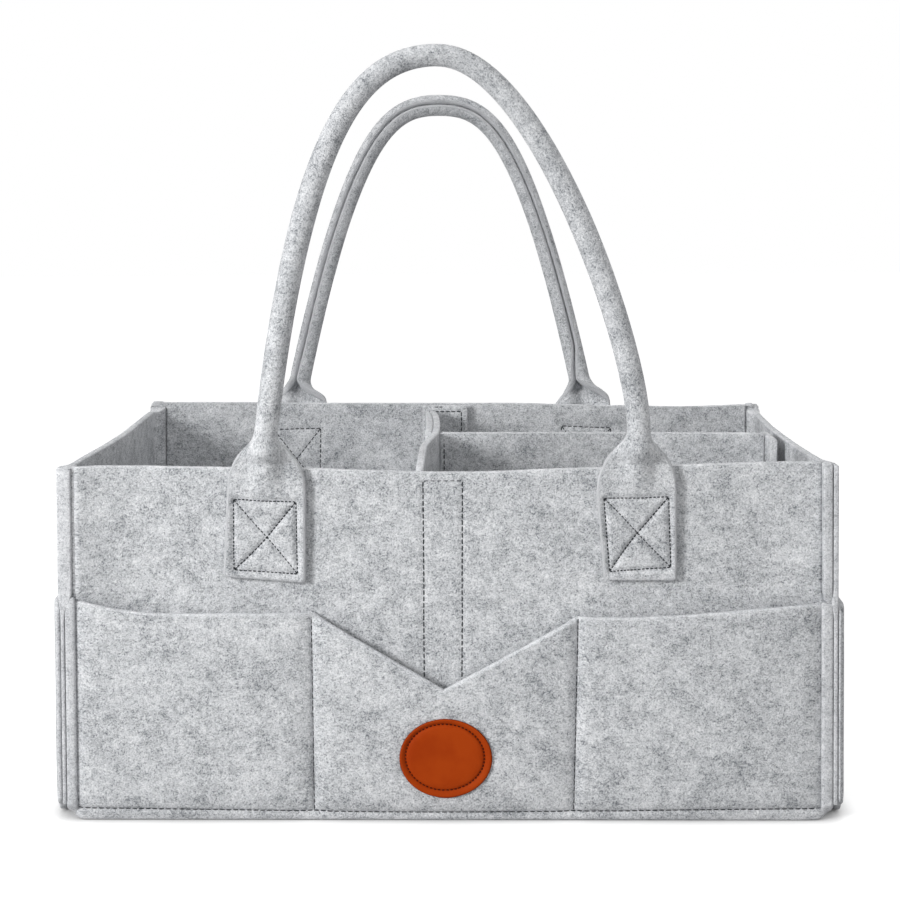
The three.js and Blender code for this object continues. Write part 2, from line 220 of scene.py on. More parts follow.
def colour_run(tree, value, low, high, colours):
    """A colour that runs evenly through several while a value goes from low to high."""
    result, *others = colours
    step = (high - low) / len(others)
    for k, colour in enumerate(others):
        start = low + k * step
        share = add_node(tree, "MapRange", {"Value": value, "From Min": start, "From Max": start + step})
        inputs = {0: share.outputs["Result"], 6: result, 7: colour}
        result = add_node(tree, "Mix", inputs, data_type="RGBA").outputs[2]
    return result


def highest(tree, sockets):
    """The largest of several values."""
    result, *others = sockets
    for socket in others:
        result = add_node(tree, "Math", {0: result, 1: socket}, operation="MAXIMUM").outputs[0]
    return result


def weighted_sum(tree, total, terms):
    """A number plus sockets, each times its weight."""
    for socket, weight in terms:
        inputs = {0: socket, 1: weight, 2: total}
        total = add_node(tree, "Math", inputs, operation="MULTIPLY_ADD").outputs[0]
    return total


# Unevenness of the felt's colour: size in mm, and how much it counts
FELT_TUFTS = ((0.9, 1.25), (2.6, 0.8), (7.5, 0.7), (24.0, 0.6))
# Directions of the drawn fibres in degrees, how much they count, and above which level of their
# noise they show
DARK_TURNS, DARK_FIBRES, DARK_FROM = (12, 58, 103, 151), 0.38, 0.575
PALE_TURNS, PALE_FIBRES, PALE_FROM = (33, 82, 128, 170), 0.16, 0.6
FIBRE_SOFTNESS = 0.16
# How far cut edges are mixed towards the cut colour: partly the cut fibres' own tone, partly a painted
# highlight
CUT_PALE_AND_HIGHLIGHT = 0.3


def fibre_streaks(tree, flat, turns, length, width, threshold):
    """Where fibres of some directions lie: noise stretched along each, with only its crests kept."""
    streaks = []
    for turn in turns:
        stretched = add_node(
            tree, "Mapping",
            {"Vector": flat, "Rotation": (0, 0, math.radians(turn)), "Scale": (length, width, 1)},
            vector_type="TEXTURE",
        )
        noise = add_node(tree, "TexNoise", {
            "Vector": stretched.outputs["Vector"], "Scale": 1.0, "Detail": 1.0, "Roughness": 0.5,
        })
        crest = add_node(tree, "MapRange", {
            "Value": noise.outputs["Fac"], "From Min": threshold, "From Max": threshold + FIBRE_SOFTNESS,
        }, interpolation_type="SMOOTHSTEP")
        streaks.append(crest.outputs["Result"])
    return highest(tree, streaks)


def felt_material():
    """Pressed wool felt, needled from white, light grey and dark grey fibres and cut from a sheet.
    To the eye: matt, salt and pepper close by, soft clouds from afar, paler where it is cut: partly the
    cut fibres' own tone, partly a painted highlight."""
    felt = settings("caddy_felt")
    material, tree, shader = new_material("pressed_wool_felt")
    flat = add_node(tree, "UVMap", uv_map="flat_cut").outputs["UV"]
    # Fibres lie in bends of a few millimetres
    bend = add_node(tree, "TexNoise", {"Vector": flat, "Scale": 1 / (5 * MM), "Detail": 1.0})
    inputs = {0: bend.outputs["Color"], 1: (3.2 * MM, 3.2 * MM, 0), 2: flat}
    bent = add_node(tree, "VectorMath", inputs, operation="MULTIPLY_ADD").outputs[0]
    # Real fibres are 0.02 to 0.03 mm thick: they are drawn as the small tufts they gather in,
    # because single ones are too fine to show
    length, width = felt.fibre_length, felt.fibre_width
    dark = fibre_streaks(tree, bent, DARK_TURNS, length, width, DARK_FROM)
    pale = fibre_streaks(tree, bent, PALE_TURNS, 0.8 * length, width, PALE_FROM)
    tufts = []
    for size, weight in FELT_TUFTS:
        inputs = {"Vector": flat, "Scale": 1 / (size * MM), "Detail": 1.5, "Roughness": 0.6}
        tufts.append((add_node(tree, "TexNoise", inputs).outputs["Fac"], weight))
    middle = 0.5 - 0.5 * sum(weight for _, weight in tufts) + 0.3 * DARK_FIBRES - 0.2 * PALE_FIBRES
    tone = weighted_sum(tree, middle, [*tufts, (dark, -DARK_FIBRES), (pale, PALE_FIBRES)])
    wool = colour_run(tree, tone, 0, 1, [linear(felt.dark), linear(felt.middle), linear(felt.light)])
    # Cut edges are painted paler: partly the felt's own cut fibres, partly a painted highlight where rims
    # catch the light
    cut = add_node(tree, "Attribute", attribute_name="cut_edge").outputs["Fac"]
    wool = colour_run(tree, weighted_sum(tree, 0.0, [(cut, CUT_PALE_AND_HIGHLIGHT)]), 0, 1, [wool, linear(felt.cut)])
    height = weighted_sum(tree, 0.0, [(tufts[0][0], 1.2), (tufts[1][0], 0.8), (dark, -0.5), (pale, 0.5)])
    bump = add_node(tree, "Bump", {"Height": height, "Strength": 0.6, "Distance": 0.4 * MM})
    feed(tree, shader, {
        "Base Color": wool, "Normal": bump.outputs["Normal"], "Roughness": 0.95, "IOR": 1.45,
        "Specular IOR Level": 0.1, "Sheen Weight": 0.08, "Sheen Roughness": 0.6,
    })
    return material


def thread_material(name, colour):
    """Twisted polyester sewing thread, spun from two plies.
    To the eye: a dark line with a slight shine and a slanted twist close by, with painted shade between
    the plies."""
    material, tree, shader = new_material(name)
    place = add_node(tree, "TexCoord").outputs["Object"]
    # The plies turn once in about 0.5 mm of thread
    twist = add_node(
        tree, "TexWave", {"Vector": place, "Scale": 1 / (2.5 * MM), "Distortion": 1.5},
        wave_type="BANDS", bands_direction="DIAGONAL",
    ).outputs["Fac"]
    lit = linear(colour)
    # Painted shade: the grooves between the plies are drawn darker than the thread's own colour
    shade_between_plies = (*(0.65 * part for part in lit[:3]), 1.0)
    bump = add_node(tree, "Bump", {"Height": twist, "Strength": 0.5, "Distance": 0.08 * MM})
    feed(tree, shader, {
        "Base Color": colour_run(tree, twist, 0, 1, [shade_between_plies, lit]),
        "Normal": bump.outputs["Normal"], "Roughness": 0.75, "Specular IOR Level": 0.12,
    })
    return material


def leather_material():
    """Vegetable-tanned cowhide, dyed tan, with a rolled smooth face and a burnished edge.
    To the eye: warm orange-brown with slight clouding, a fine pebble and a satin light on it."""
    patch = settings("caddy_patch")
    material, tree, shader = new_material("tanned_cowhide")
    place = add_node(tree, "TexCoord").outputs["Object"]
    clouds = add_node(tree, "TexNoise", {"Vector": place, "Scale": 1 / (14 * MM), "Detail": 4.0})
    tan = [linear(patch.cloud_colour), linear(patch.colour)]
    tan = colour_run(tree, clouds.outputs["Fac"], 0.35, 0.65, tan)
    edge = add_node(tree, "Attribute", attribute_name="cut_edge").outputs["Fac"]
    tan = colour_run(tree, edge, 0, 1, [tan, linear(patch.edge_colour)])
    # Pebbles of the grain are about 0.9 mm across
    pebbles = add_node(
        tree, "TexVoronoi", {"Vector": place, "Scale": 1 / (0.9 * MM)}, feature="DISTANCE_TO_EDGE"
    )
    creases = add_node(tree, "MapRange", {"Value": pebbles.outputs["Distance"], "From Max": 0.25})
    inputs = {"Height": creases.outputs["Result"], "Strength": 0.25, "Distance": 0.06 * MM}
    bump = add_node(tree, "Bump", inputs)
    feed(tree, shader, {
        "Base Color": tan, "Normal": bump.outputs["Normal"], "Roughness": 0.6, "Specular IOR Level": 0.06,
    })
    return material


def tape_material():
    """Hook and loop tape, woven nylon with a pile of loops.
    To the eye: even grey with fine woven rows."""
    material, tree, shader = new_material("woven_nylon_tape")
    flat = add_node(tree, "UVMap", uv_map="flat_cut").outputs["UV"]
    # Rows of loops stand about 1.2 mm apart
    rows = add_node(
        tree, "TexWave", {"Vector": flat, "Scale": 1 / (6 * 1.2 * MM), "Distortion": 0.8, "Detail": 1.0},
        wave_type="BANDS", bands_direction="Y",
    )
    loops = add_node(tree, "TexNoise", {"Vector": flat, "Scale": 1 / (0.8 * MM), "Detail": 2.0})
    pile = weighted_sum(tree, 0.0, [(rows.outputs["Fac"], 1.0), (loops.outputs["Fac"], 1.0)])
    bump = add_node(tree, "Bump", {"Height": pile, "Strength": 0.8, "Distance": 0.3 * MM})
    feed(tree, shader, {
        "Base Color": colour_run(tree, pile, 0, 2, [linear("7C8085"), linear("A6A9AD")]),
        "Normal": bump.outputs["Normal"], "Roughness": 0.8,
    })
    return material


# Materials that are made once, when the first piece takes them
FINISHES = {
    "pressed_wool_felt": felt_material,
    "dark_thread": lambda: thread_material("dark_thread", settings("caddy_stitch").colour),
    "patch_thread": lambda: thread_material("patch_thread", settings("caddy_stitch").patch_colour),
    "tanned_cowhide": leather_material,
    "woven_nylon_tape": tape_material,
}


def finish_piece(piece, finish, body, stands_for=()):
    """Gives a piece its material, its body and the solids it stands for."""
    piece.data.materials.append(bpy.data.materials.get(finish) or FINISHES[finish]())
    if body:
        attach(piece, body)
    if stands_for:
        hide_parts(*stands_for)
    return piece


def smooth_step(value):
    share = np.clip(value, 0, 1)
    return share * share * (3 - 2 * share)


def distance_to_line(across, up, line):
    """Distance from flat places to a stitched line given by its corners."""
    best = np.full(np.shape(across), 1e9)
    for (x0, z0), (x1, z1) in zip(line[:-1], line[1:]):
        run, rise = x1 - x0, z1 - z0
        share = ((across - x0) * run + (up - z0) * rise) / max(run * run + rise * rise, 1e-9)
        share = np.clip(share, 0, 1)
        best = np.minimum(best, np.hypot(across - x0 - share * run, up - z0 - share * rise))
    return best


def ripple(across, up, phase, size=0.35):
    """Slow unevenness of a standing felt wall, in mm: a sum of waves 60 to 170 mm long."""
    waves = ((61, 83, 0.25), (97, 58, 0.35), (171, 119, 0.4))
    total = 0
    for k, (long, tall, share) in enumerate(waves):
        total = total + share * np.sin(
            2 * math.pi * (across / long + up / tall) + phase * (k + 1) * 1.7
        )
    return size * total


def graded(start, end, coarse, places=(), fine=1.0, around=4.0):
    """Grid lines from start to end: fine ones around the places where something is pressed in."""
    wanted = [start, end]
    for place in places:
        first, last = place if isinstance(place, tuple) else (place, place)
        low, high = max(start, first - around), min(end, last + around)
        if high > low:
            wanted.extend(np.linspace(low, high, max(2, int(math.ceil((high - low) / fine)) + 1)))
    wanted = sorted(wanted)
    lines = [wanted[0]]
    for value in wanted[1:]:
        if value - lines[-1] < 0.45 * fine and value != wanted[-1]:
            continue
        last = lines[-1]
        count = int(math.ceil((value - last) / coarse))
        lines.extend(last + (value - last) * k / count for k in range(1, count))
        lines.append(value)
    return np.array(lines)


# Seams: how deep and how wide the stitches press into the felt
GROOVES = {
    "tape": (0.45, 1.2),
    "tab": (1.5, 1.1),
    "tab_inside": (0.7, 1.2),
    "corner": (0.5, 1.1),
    "pocket": (1.3, 0.9),
    "pocket_foot": (1.3, 1.1),
    "end_pocket": (0.6, 1.1),
    "end_pocket_foot": (0.8, 1.2),
    "divider": (0.6, 1.2),
    "end_flap": (0.5, 1.2),
    "side_flap": (0.6, 1.1),
}


class FeltSheet:
    """A cut sheet of felt. Its flat places are (across, up) in mm. middle gives the point half way
    through its thickness, and facing is 1 or -1, so that the outer skin is the one that shows.
    Where across runs in shares of a width, unit is what a share of 1 measures in mm."""

    def __init__(self, middle, thickness=FELT, facing=1, unit=1.0):
        self.middle = middle
        self.thickness = thickness if callable(thickness) else lambda across, up: thickness
        self.facing = facing
        self.unit = unit
        self.seams = []

    def sew(self, line, groove, skins=(OUTER, INNER)):
        """Presses a stitched line, given in mm, into the skins and returns it."""
        self.seams.append((line, *GROOVES[groove], skins))
        return line

    def normal(self, across, up):
        step = 0.15
        along = self.middle(across + step, up) - self.middle(across - step, up)
        rise = self.middle(across, up + step) - self.middle(across, up - step)
        normal = np.cross(along, rise) * self.facing
        return normal / np.maximum(np.linalg.norm(normal, axis=-1, keepdims=True), 1e-9)

    def pressed(self, across, up, skin):
        depth = np.zeros(np.shape(across))
        for line, deepest, width, skins in self.seams:
            if skin in skins:
                away = distance_to_line(across * self.unit, up, line)
                depth = np.maximum(depth, deepest * np.exp(-((away / width) ** 2)))
        return depth

    def skin(self, across, up, skin, above=0.0):
        """Points on a skin, or a little above it."""
        lift = self.thickness(across, up) / 2 - self.pressed(across, up, skin) + above
        return self.middle(across, up) + (skin * np.broadcast_to(lift, np.shape(across)))[
            ..., None
        ] * self.normal(across, up)


# Steps over a cut edge, as angles of its two quarter rounds
EDGE_ANGLES = tuple(math.radians(angle) for angle in (30, 62, 90))


def edge_radius(puffy=False):
    """Rounding of a felt edge in mm: cut, or puffy beside a seam."""
    felt = settings("caddy_felt")
    return (felt.seam_round if puffy else felt.edge_round) / MM


def build_sheet(name, sheet, across, up, edge_round, fray=0.1):
    """A closed mesh of a sheet over a grid of flat places, with narrow cut edges all round."""
    columns, rows = across.shape
    outer = sheet.skin(across, up, OUTER).reshape(-1, 3)
    inner = sheet.skin(across, up, INNER).reshape(-1, 3)
    index = np.arange(columns * rows).reshape(columns, rows)
    rim = np.concatenate([index[:, 0], index[-1, 1:], index[-2::-1, -1], index[0, -2:0:-1]])
    flat = np.stack([across.ravel(), up.ravel()], 1)
    centre = (outer[rim] + inner[rim]) / 2
    half = np.linalg.norm(outer[rim] - inner[rim], axis=1) / 2
    face = (outer[rim] - inner[rim]) / (2 * half[:, None])
    step = np.roll(centre, -1, 0) - np.roll(centre, 1, 0)
    out = np.cross(step, face) * sheet.facing
    out /= np.maximum(np.linalg.norm(out, axis=1, keepdims=True), 1e-9)
    flat_step = np.roll(flat[rim], -1, 0) - np.roll(flat[rim], 1, 0)
    flat_out = np.stack([flat_step[:, 1], -flat_step[:, 0]], 1)
    flat_out /= np.maximum(np.linalg.norm(flat_out, axis=1, keepdims=True), 1e-9)
    worn = 1 + fray * np.sin(np.arange(len(rim)) * 2.399) * np.sin(np.arange(len(rim)) * 0.731)
    rings, ring_places = [], []
    for skin, angles in ((OUTER, EDGE_ANGLES), (INNER, EDGE_ANGLES[::-1])):
        for angle in angles:
            depth = skin * (half - np.minimum(edge_round, 0.96 * half) * (1 - math.cos(angle)))
            reach = edge_round * math.sin(angle) * worn
            rings.append(centre + face * depth[:, None] + out * reach[:, None])
            ring_places.append(flat[rim] + flat_out * (edge_round + half - depth)[:, None])
    points = np.concatenate([outer, inner, *rings])
    # Each piece is cut from another place of the roll
    elsewhere = 37.0 * (sum(map(ord, name)) % 41)
    places = (np.concatenate([flat, flat, *ring_places]) + elsewhere) * (sheet.unit, 1.0)
    cut = np.zeros(len(points))
    cut[2 * len(flat) :] = 1.0
    cells = [index[:-1, :-1], index[1:, :-1], index[1:, 1:], index[:-1, 1:]]
    cells = np.stack(cells, -1).reshape(-1, 4)
    quads = [cells, cells[:, ::-1] + columns * rows]
    strips = [rim, *[2 * len(flat) + k * len(rim) + np.arange(len(rim)) for k in range(len(rings))]]
    strips.append(rim + columns * rows)
    for upper, lower in zip(strips[:-1], strips[1:]):
        quads.append(np.stack([upper, lower, np.roll(lower, -1), np.roll(upper, -1)], 1))
    return make_object(name, points, np.concatenate(quads), places, cut)


def make_object(name, points, quads, places=None, cut=None):
    """A mesh object from points in mm and four-cornered faces, turned so that its faces point out."""
    a, b, c, d = (points[quads[:, k]] for k in range(4))
    volume = (a * np.cross(b, c)).sum() + (a * np.cross(c, d)).sum()
    if volume < 0:
        quads = quads[:, ::-1]
    mesh = bpy.data.meshes.new(name)
    mesh.vertices.add(len(points))
    mesh.vertices.foreach_set("co", (points * MM).astype(np.float32).ravel())
    mesh.loops.add(quads.size)
    mesh.loops.foreach_set("vertex_index", quads.astype(np.int32).ravel())
    mesh.polygons.add(len(quads))
    mesh.polygons.foreach_set("loop_start", np.arange(0, quads.size, 4, dtype=np.int32))
    mesh.update(calc_edges=True)
    mesh.polygons.foreach_set("use_smooth", np.ones(len(quads), bool))
    if places is not None:
        layer = mesh.uv_layers.new(name="flat_cut")
        layer.uv.foreach_set("vector", (places[quads.ravel()] * MM).astype(np.float32).ravel())
    if cut is not None:
        attribute = mesh.attributes.new("cut_edge", "FLOAT", "POINT")
        attribute.data.foreach_set("value", cut.astype(np.float32))
    mesh.validate()
    piece = bpy.data.objects.new(name, mesh)
    bpy.context.scene.collection.objects.link(piece)
    return piece


def tensor(across_lines, up_lines):
    """A plain grid of flat places."""
    return np.meshgrid(across_lines, up_lines, indexing="ij")


def fitted(across_lines, up_lines, top, level):
    """A grid whose lines above a level are squeezed under a top edge of its own height."""
    across, up = tensor(across_lines, up_lines)
    highest_line = up_lines[-1]
    share = np.clip((up - level) / (highest_line - level), 0, 1)
    return across, np.where(up > level, level + share * (top(across) - level), up)


def walk(line, step):
    """Places along a line of flat corners, one step apart."""
    corners = np.array(line, float)
    lengths = np.concatenate([[0], np.cumsum(np.linalg.norm(np.diff(corners, axis=0), axis=1))])
    count = max(1, int(round(lengths[-1] / step)))
    at = np.linspace(0, lengths[-1], count + 1)
    return np.stack([np.interp(at, lengths, corners[:, k]) for k in (0, 1)], 1)


# A stitch: where its five rings lie between its holes, and how high they stand, in thread radii
STITCH_SHARES = (0.02, 0.16, 0.5, 0.84, 0.98)
STITCH_RISE = (-1.4, 0.1, 0.5, 0.1, -1.4)
STITCH_SIDES = 6


def thread_tubes(holes, normals, radius, open_share=0.92):
    """Points and faces of the stitches between neighbouring holes."""
    start, end = holes[:-1], holes[1:]
    face = normals[:-1] + normals[1:]
    face /= np.linalg.norm(face, axis=1, keepdims=True)
    run = end - start
    side = np.cross(run, face)
    side /= np.maximum(np.linalg.norm(side, axis=1, keepdims=True), 1e-9)
    margin = (1 - open_share) / 2
    rings = []
    for share, rise in zip(STITCH_SHARES, STITCH_RISE):
        centre = start + run * (margin + open_share * share) + face * (rise * radius)
        for k in range(STITCH_SIDES):
            turn = 2 * math.pi * k / STITCH_SIDES
            rings.append(centre + radius * (math.cos(turn) * side + math.sin(turn) * face))
    points = np.stack(rings, 1).reshape(-1, 3)
    per_stitch = len(rings)
    pattern = []
    for ring in range(len(STITCH_SHARES) - 1):
        for k in range(STITCH_SIDES):
            a, b = ring * STITCH_SIDES + k, ring * STITCH_SIDES + (k + 1) % STITCH_SIDES
            pattern.append((a, b, b + STITCH_SIDES, a + STITCH_SIDES))
    last = (len(STITCH_SHARES) - 1) * STITCH_SIDES
    pattern += [(3, 2, 1, 0), (5, 4, 3, 0)]
    pattern += [(last, last + 1, last + 2, last + 3), (last, last + 3, last + 4, last + 5)]
    quads = np.array(pattern)[None] + per_stitch * np.arange(len(start))[:, None, None]
    return points, quads.reshape(-1, 4)


def join_stitches(name, runs):
    """One mesh of thread from several runs of stitches."""
    points, quads, count = [], [], 0
    for run_points, run_quads in runs:
        points.append(run_points)
        quads.append(run_quads + count)
        count += len(run_points)
    return make_object(name, np.concatenate(points), np.concatenate(quads))


def sew_thread(name, sheet, lines, skin, body="bag", length=None, thick=1.0):
    """Thread for several stitched lines on a skin of a sheet. length is a stitch's own in mm, and
    thick is its thread beside the usual one."""
    stitch = settings("caddy_stitch")
    radius = thick * stitch.thread / MM / 2
    runs = []
    for line in lines:
        across, up = walk(line, length or stitch.length / MM).T
        across = across / sheet.unit
        holes = sheet.skin(across, up, skin)
        runs.append(thread_tubes(holes, skin * sheet.normal(across, up), radius))
    finish_piece(join_stitches(name, runs), "dark_thread", body)


def felt_piece(name, sheet, grid, body, stands_for, radius):
    """A piece of felt over a grid, cut to a flat size in mm."""
    piece = build_sheet(name, sheet, *grid, radius)
    finish_piece(piece, "pressed_wool_felt", body, stands_for)
    return piece


def flat_middle(axis, at):
    """Middle of a piece that stands or lies flat: across and up fill the other two axes."""

    def middle(across, up):
        places = [across, up]
        places.insert(axis, at + 0 * across)
        return np.stack(places, -1)

    return middle


def half_length(up):
    """Half the outer length of the bag at a height."""
    return HALF_BASE + (HALF_RIM - HALF_BASE) * up / BAG_HEIGHT


# Heights of the long walls' rims along the bag, from left to right, front and back
RIMS = {
    -1: ((-192, 179.4), (-170, 179.5), (-111, 178.3), (-65, 177.7), (-45, 176.8), (-10, 175.7),
         (15, 175.7), (33, 176.3), (53, 177.2), (72, 177.7), (119, 179.1), (163, 180.5),
         (182, 180.5), (192, 179.9)),
    1: ((-192, 182.3), (-160, 182.2), (-131, 182.1), (-74, 181.4), (15, 181.2), (38, 181.1),
        (60, 180.4), (104, 179.4), (129, 178.7), (147, 178.7), (175, 179.7), (192, 179.8)),
}
# Height of the end walls' rims along the bag, from front to back, left and right
END_RIMS = {
    -1: ((-131, 179.4), (-124, 179.3), (-108, 177.3), (116, 177.4), (124, 181.4), (131, 181.9)),
    1: ((-131, 179.8), (-122, 179.5), (-92, 176.8), (0, 176.3), (60, 175.1), (104, 174.3),
        (117, 175.0), (125, 178.8), (131, 179.2)),
}

LONG_SIDES = {"front": -1, "back": 1}
END_SIDES = {"left": -1, "right": 1}
# How far the end walls bow in at the middle of their rims
END_BOW = {-1: 3.0, 1: 3.5}
# Corner seams, from the end of the bag inwards: how thick the end's pocket, the end wall, the long
# wall and its pocket are pressed, below the pockets' tops and above them, left and right
END_POCKET_LAYER = {-1: 2.5, 1: 1.6}
END_LAYER = {-1: (1.1, 6.0), 1: (1.1, 2.6)}
WALL_LAYER = {-1: (0.9, 0.9), 1: (1.1, 4.5)}
POCKET_LAYER = {-1: (5.0, 5.0), 1: (5.6, 5.6)}
# How far the outer face of the end wall and its pocket lies inside the bag's end, in the corner seams
DRAWN_IN = {-1: (1.1, 0.0), 1: (0.2, 0.0)}
SEAM_AIR = {-1: (0.05, 0.05), 1: (0.05, 0.35)}
# Where the end wall's layer wraps over the edge of the long wall's margin, which is cut back
WRAPS_OVER = {-1: (1, 1), 1: (1, 0)}
CUT_BACK = 4.2
# Inside, the end walls swell towards the long walls where the seam pinches them
PINCH = {-1: 5.6, 1: 4.2}
PINCH_FROM = 111
PINCH_TO = 120.5
# The long pieces turn out into the seams: radius of the turn, and the groove beside it
SEAM_BEND = 1.4
SEAM_GROOVE = 1.0
POCKET_GROOVE_WIDTH = 1.8
WALL_GROOVE_WIDTH = 0.9
# Above the pockets, the seams pull the front wall out at its corners, left and right
SEAM_PROUD = {-1: (0.0, 6.0), 1: (0.0, 2.5)}
SEAM_PROUD_RUN = 38
CORNER_STITCH_INSET = 3.6
# Where the flat field of a long wall ends, and between which heights the layers change
FIELD_END = 180.0
SQUEEZE_FROM = 104
SQUEEZE_TO = 118
# The corners' feet are lifted off the floor: how far, up to which height, and over which run
CORNER_LIFT = 8.8
CORNER_LIFT_RUN = 20
LONG_LIFT_FROM = 173
LONG_LIFT_RUN = 12
END_LIFT_FROM = 112
END_LIFT_RUN = 18
# How far above the floor a standing piece's grid starts
FOOT_GAP = 0.3
WALL_MIDDLE = WALL_FACE - FELT / 2


def above_pockets(up):
    """0 where the pockets are sewn into the corner seams, 1 above them."""
    return smooth_step((up - SQUEEZE_FROM) / (SQUEEZE_TO - SQUEEZE_FROM))


def layer(layers, side, up):
    """Thickness of one layer in a corner seam, on a side of the bag and at a height."""
    low, high = (np.where(side < 0, layers[-1][k], layers[1][k]) for k in (0, 1))
    return low + (high - low) * above_pockets(up)


def height_along(places):
    """A top edge that follows heights given at places."""
    at, heights = np.array(places).T
    return lambda across: np.interp(across, at, heights)


def drawn_in(across, side, up):
    """How far an end piece's outer face is drawn in from the bag's end, near its corner seams."""
    return layer(DRAWN_IN, side, up) * smooth_step((np.abs(across) - WALL_FACE + 12) / 12)


def sew_corners(sheet, low, high, groove):
    """The two upright seams of an end piece, near the tips of its corners."""
    at = SEAM_TIP - CORNER_STITCH_INSET
    return [sheet.sew([(y, low), (y, high)], groove, (OUTER,)) for y in (-at, at)]


def wrapped(across, up, inset, middle, field_end, bulge, groove_width, proud):
    """x and distance out of a strip that runs along a wall and turns out into both corner seams.
    inset is how far its middle lies inside the bag's end in the seam, middle how far out on the
    wall, and proud how much further out the seam pulls it."""
    side = np.sign(across)
    reach = np.abs(across)
    seam_x = half_length(up) - inset
    turn_x = seam_x - SEAM_BEND
    bend_length = SEAM_BEND * math.pi / 2
    angle = np.clip((reach - field_end) / SEAM_BEND, 0, math.pi / 2)
    straight = np.maximum(reach - field_end - bend_length, 0)
    x = np.where(reach <= field_end, reach * turn_x / field_end, turn_x + SEAM_BEND * np.sin(angle))
    # The seam presses the wall in, so that a groove runs along it
    away = np.maximum(field_end - reach, 0)
    groove = SEAM_GROOVE * np.exp(-((away / groove_width) ** 2))
    pulled = proud * np.clip(1 - away / SEAM_PROUD_RUN, 0, 1) ** 2
    tip = SEAM_TIP - middle - SEAM_BEND + SEAM_GROOVE
    out = middle + pulled - groove + SEAM_BEND * (1 - np.cos(angle)) + straight * (tip - proud) / tip
    return side * x, out + np.where(reach <= field_end, bulge, 0)


def long_wall_sheet(side):
    """Front wall (side -1) or back wall (side 1)."""

    def middle(across, up):
        end = np.sign(across)
        inset = layer(DRAWN_IN, end, up) + layer(END_LAYER, end, up) + layer(SEAM_AIR, end, up)
        inset = inset + layer(WALL_LAYER, end, up) / 2
        fade = smooth_step((FIELD_END - np.abs(across)) / 40) * smooth_step(up / 60)
        bulge = ripple(across, up, 0.6 + side) * fade
        # Where the margin is cut back, the end wall's layer covers its edge
        margin = np.clip(np.abs(across) - FIELD_END, 0, None) / (STRIP_END - FIELD_END)
        cut = end * margin * CUT_BACK * layer(WRAPS_OVER, end, up)
        proud = layer(SEAM_PROUD, end, up) * (side < 0)
        x, out = wrapped(across - cut, up, inset, WALL_MIDDLE, FIELD_END, bulge, WALL_GROOVE_WIDTH, proud)
        return np.stack([x, side * out, up + 0 * x], -1)

    def thickness(across, up):
        share = smooth_step((np.abs(across) - FIELD_END) / SEAM_BEND)
        return FELT + (layer(WALL_LAYER, np.sign(across), up) - FELT) * share

    return FeltSheet(middle, thickness, facing=-side)


# Box and cross stitching of the handle ends, as corners around the leg's own x:
# top left, top right, bottom right, bottom left
TAB_BOXES = {
    ("front", 0): ((-16.4, 163.0), (14.6, 161.6), (15.3, 126.2), (-15.0, 126.4)),
    ("front", 1): ((-16.4, 163.2), (15.5, 163.7), (16.7, 128.8), (-16.2, 126.7)),
    ("back", 0): ((-13.5, 165.0), (15.5, 165.6), (15.0, 127.5), (-14.5, 126.8)),
    ("back", 1): ((-13.8, 166.7), (16.3, 165.4), (14.8, 127.2), (-14.2, 127.9)),
}
# Handles: side of the bag, the crown's place and height above the neck, the width of the strip
# that is rolled up at the neck, half way up and at the crown, and for each leg where it stands, how
# far it leans inwards, at what share of the rise, how far the crown's round reaches to its side,
# how far the roll is turned at the neck, in mm round it, and how much the left and right corners of
# the tab's foot are raised
LOOPS = {
    "front": {"side": -1, "crown_x": -2.8, "rise": 184.4, "rolled": (22.0, 22.6, 19.0), "legs": (
        {"x": -88.0, "lean": 20.8, "lean_at": 0.87, "reach": 33.4, "turned": 0.0, "foot": (2.2, -1.1)},
        {"x": 93.0, "lean": -5.3, "lean_at": 0.16, "reach": 50.0, "turned": 0.0, "foot": (0.0, 0.0)},
    )},
    "back": {"side": 1, "crown_x": -9.6, "rise": 173.6, "rolled": (27.0, 24.0, 26.0), "legs": (
        {"x": -98.0, "lean": 36.8, "lean_at": 0.95, "reach": 26.6, "turned": 2.2, "foot": (0.0, 0.0)},
        {"x": 79.5, "lean": 37.5, "lean_at": 0.97, "reach": 28.1, "turned": -2.4, "foot": (0.0, 0.0)},
    )},
}

# The tape strips sewn inside the long walls: their stitches show outside
TAPE_SEAM_LEFT = (-11.4, -10.8)
TAPE_SEAM_RIGHT = (7.7, 6.4)
TAPE_SEAM_TOP = 171.4
TAPE_SEAM_BOTTOM = 18.0


def tab_lines(which, leg):
    """The stitched lines of one handle end, in x and z."""
    x = LOOPS[which]["legs"][leg]["x"]
    corners = [(x + dx, z) for dx, z in TAB_BOXES[which, leg]]
    a, b, c, d = corners
    return [[a, b], [b, c], [c, d], [d, a], [a, c], [b, d]]


def tape_lines():
    """The seam round the loop tape inside a long wall, whose sides run a little askew."""
    (left, left_foot), (right, right_foot) = TAPE_SEAM_LEFT, TAPE_SEAM_RIGHT
    return [
        [(left_foot, TAPE_SEAM_BOTTOM), (left, TAPE_SEAM_TOP)],
        [(left, TAPE_SEAM_TOP), (right, TAPE_SEAM_TOP)],
        [(right, TAPE_SEAM_TOP), (right_foot, TAPE_SEAM_BOTTOM)],
    ]


STRIP_END = FIELD_END + SEAM_BEND * math.pi / 2 + (SEAM_TIP - WALL_MIDDLE - SEAM_BEND + SEAM_GROOVE)


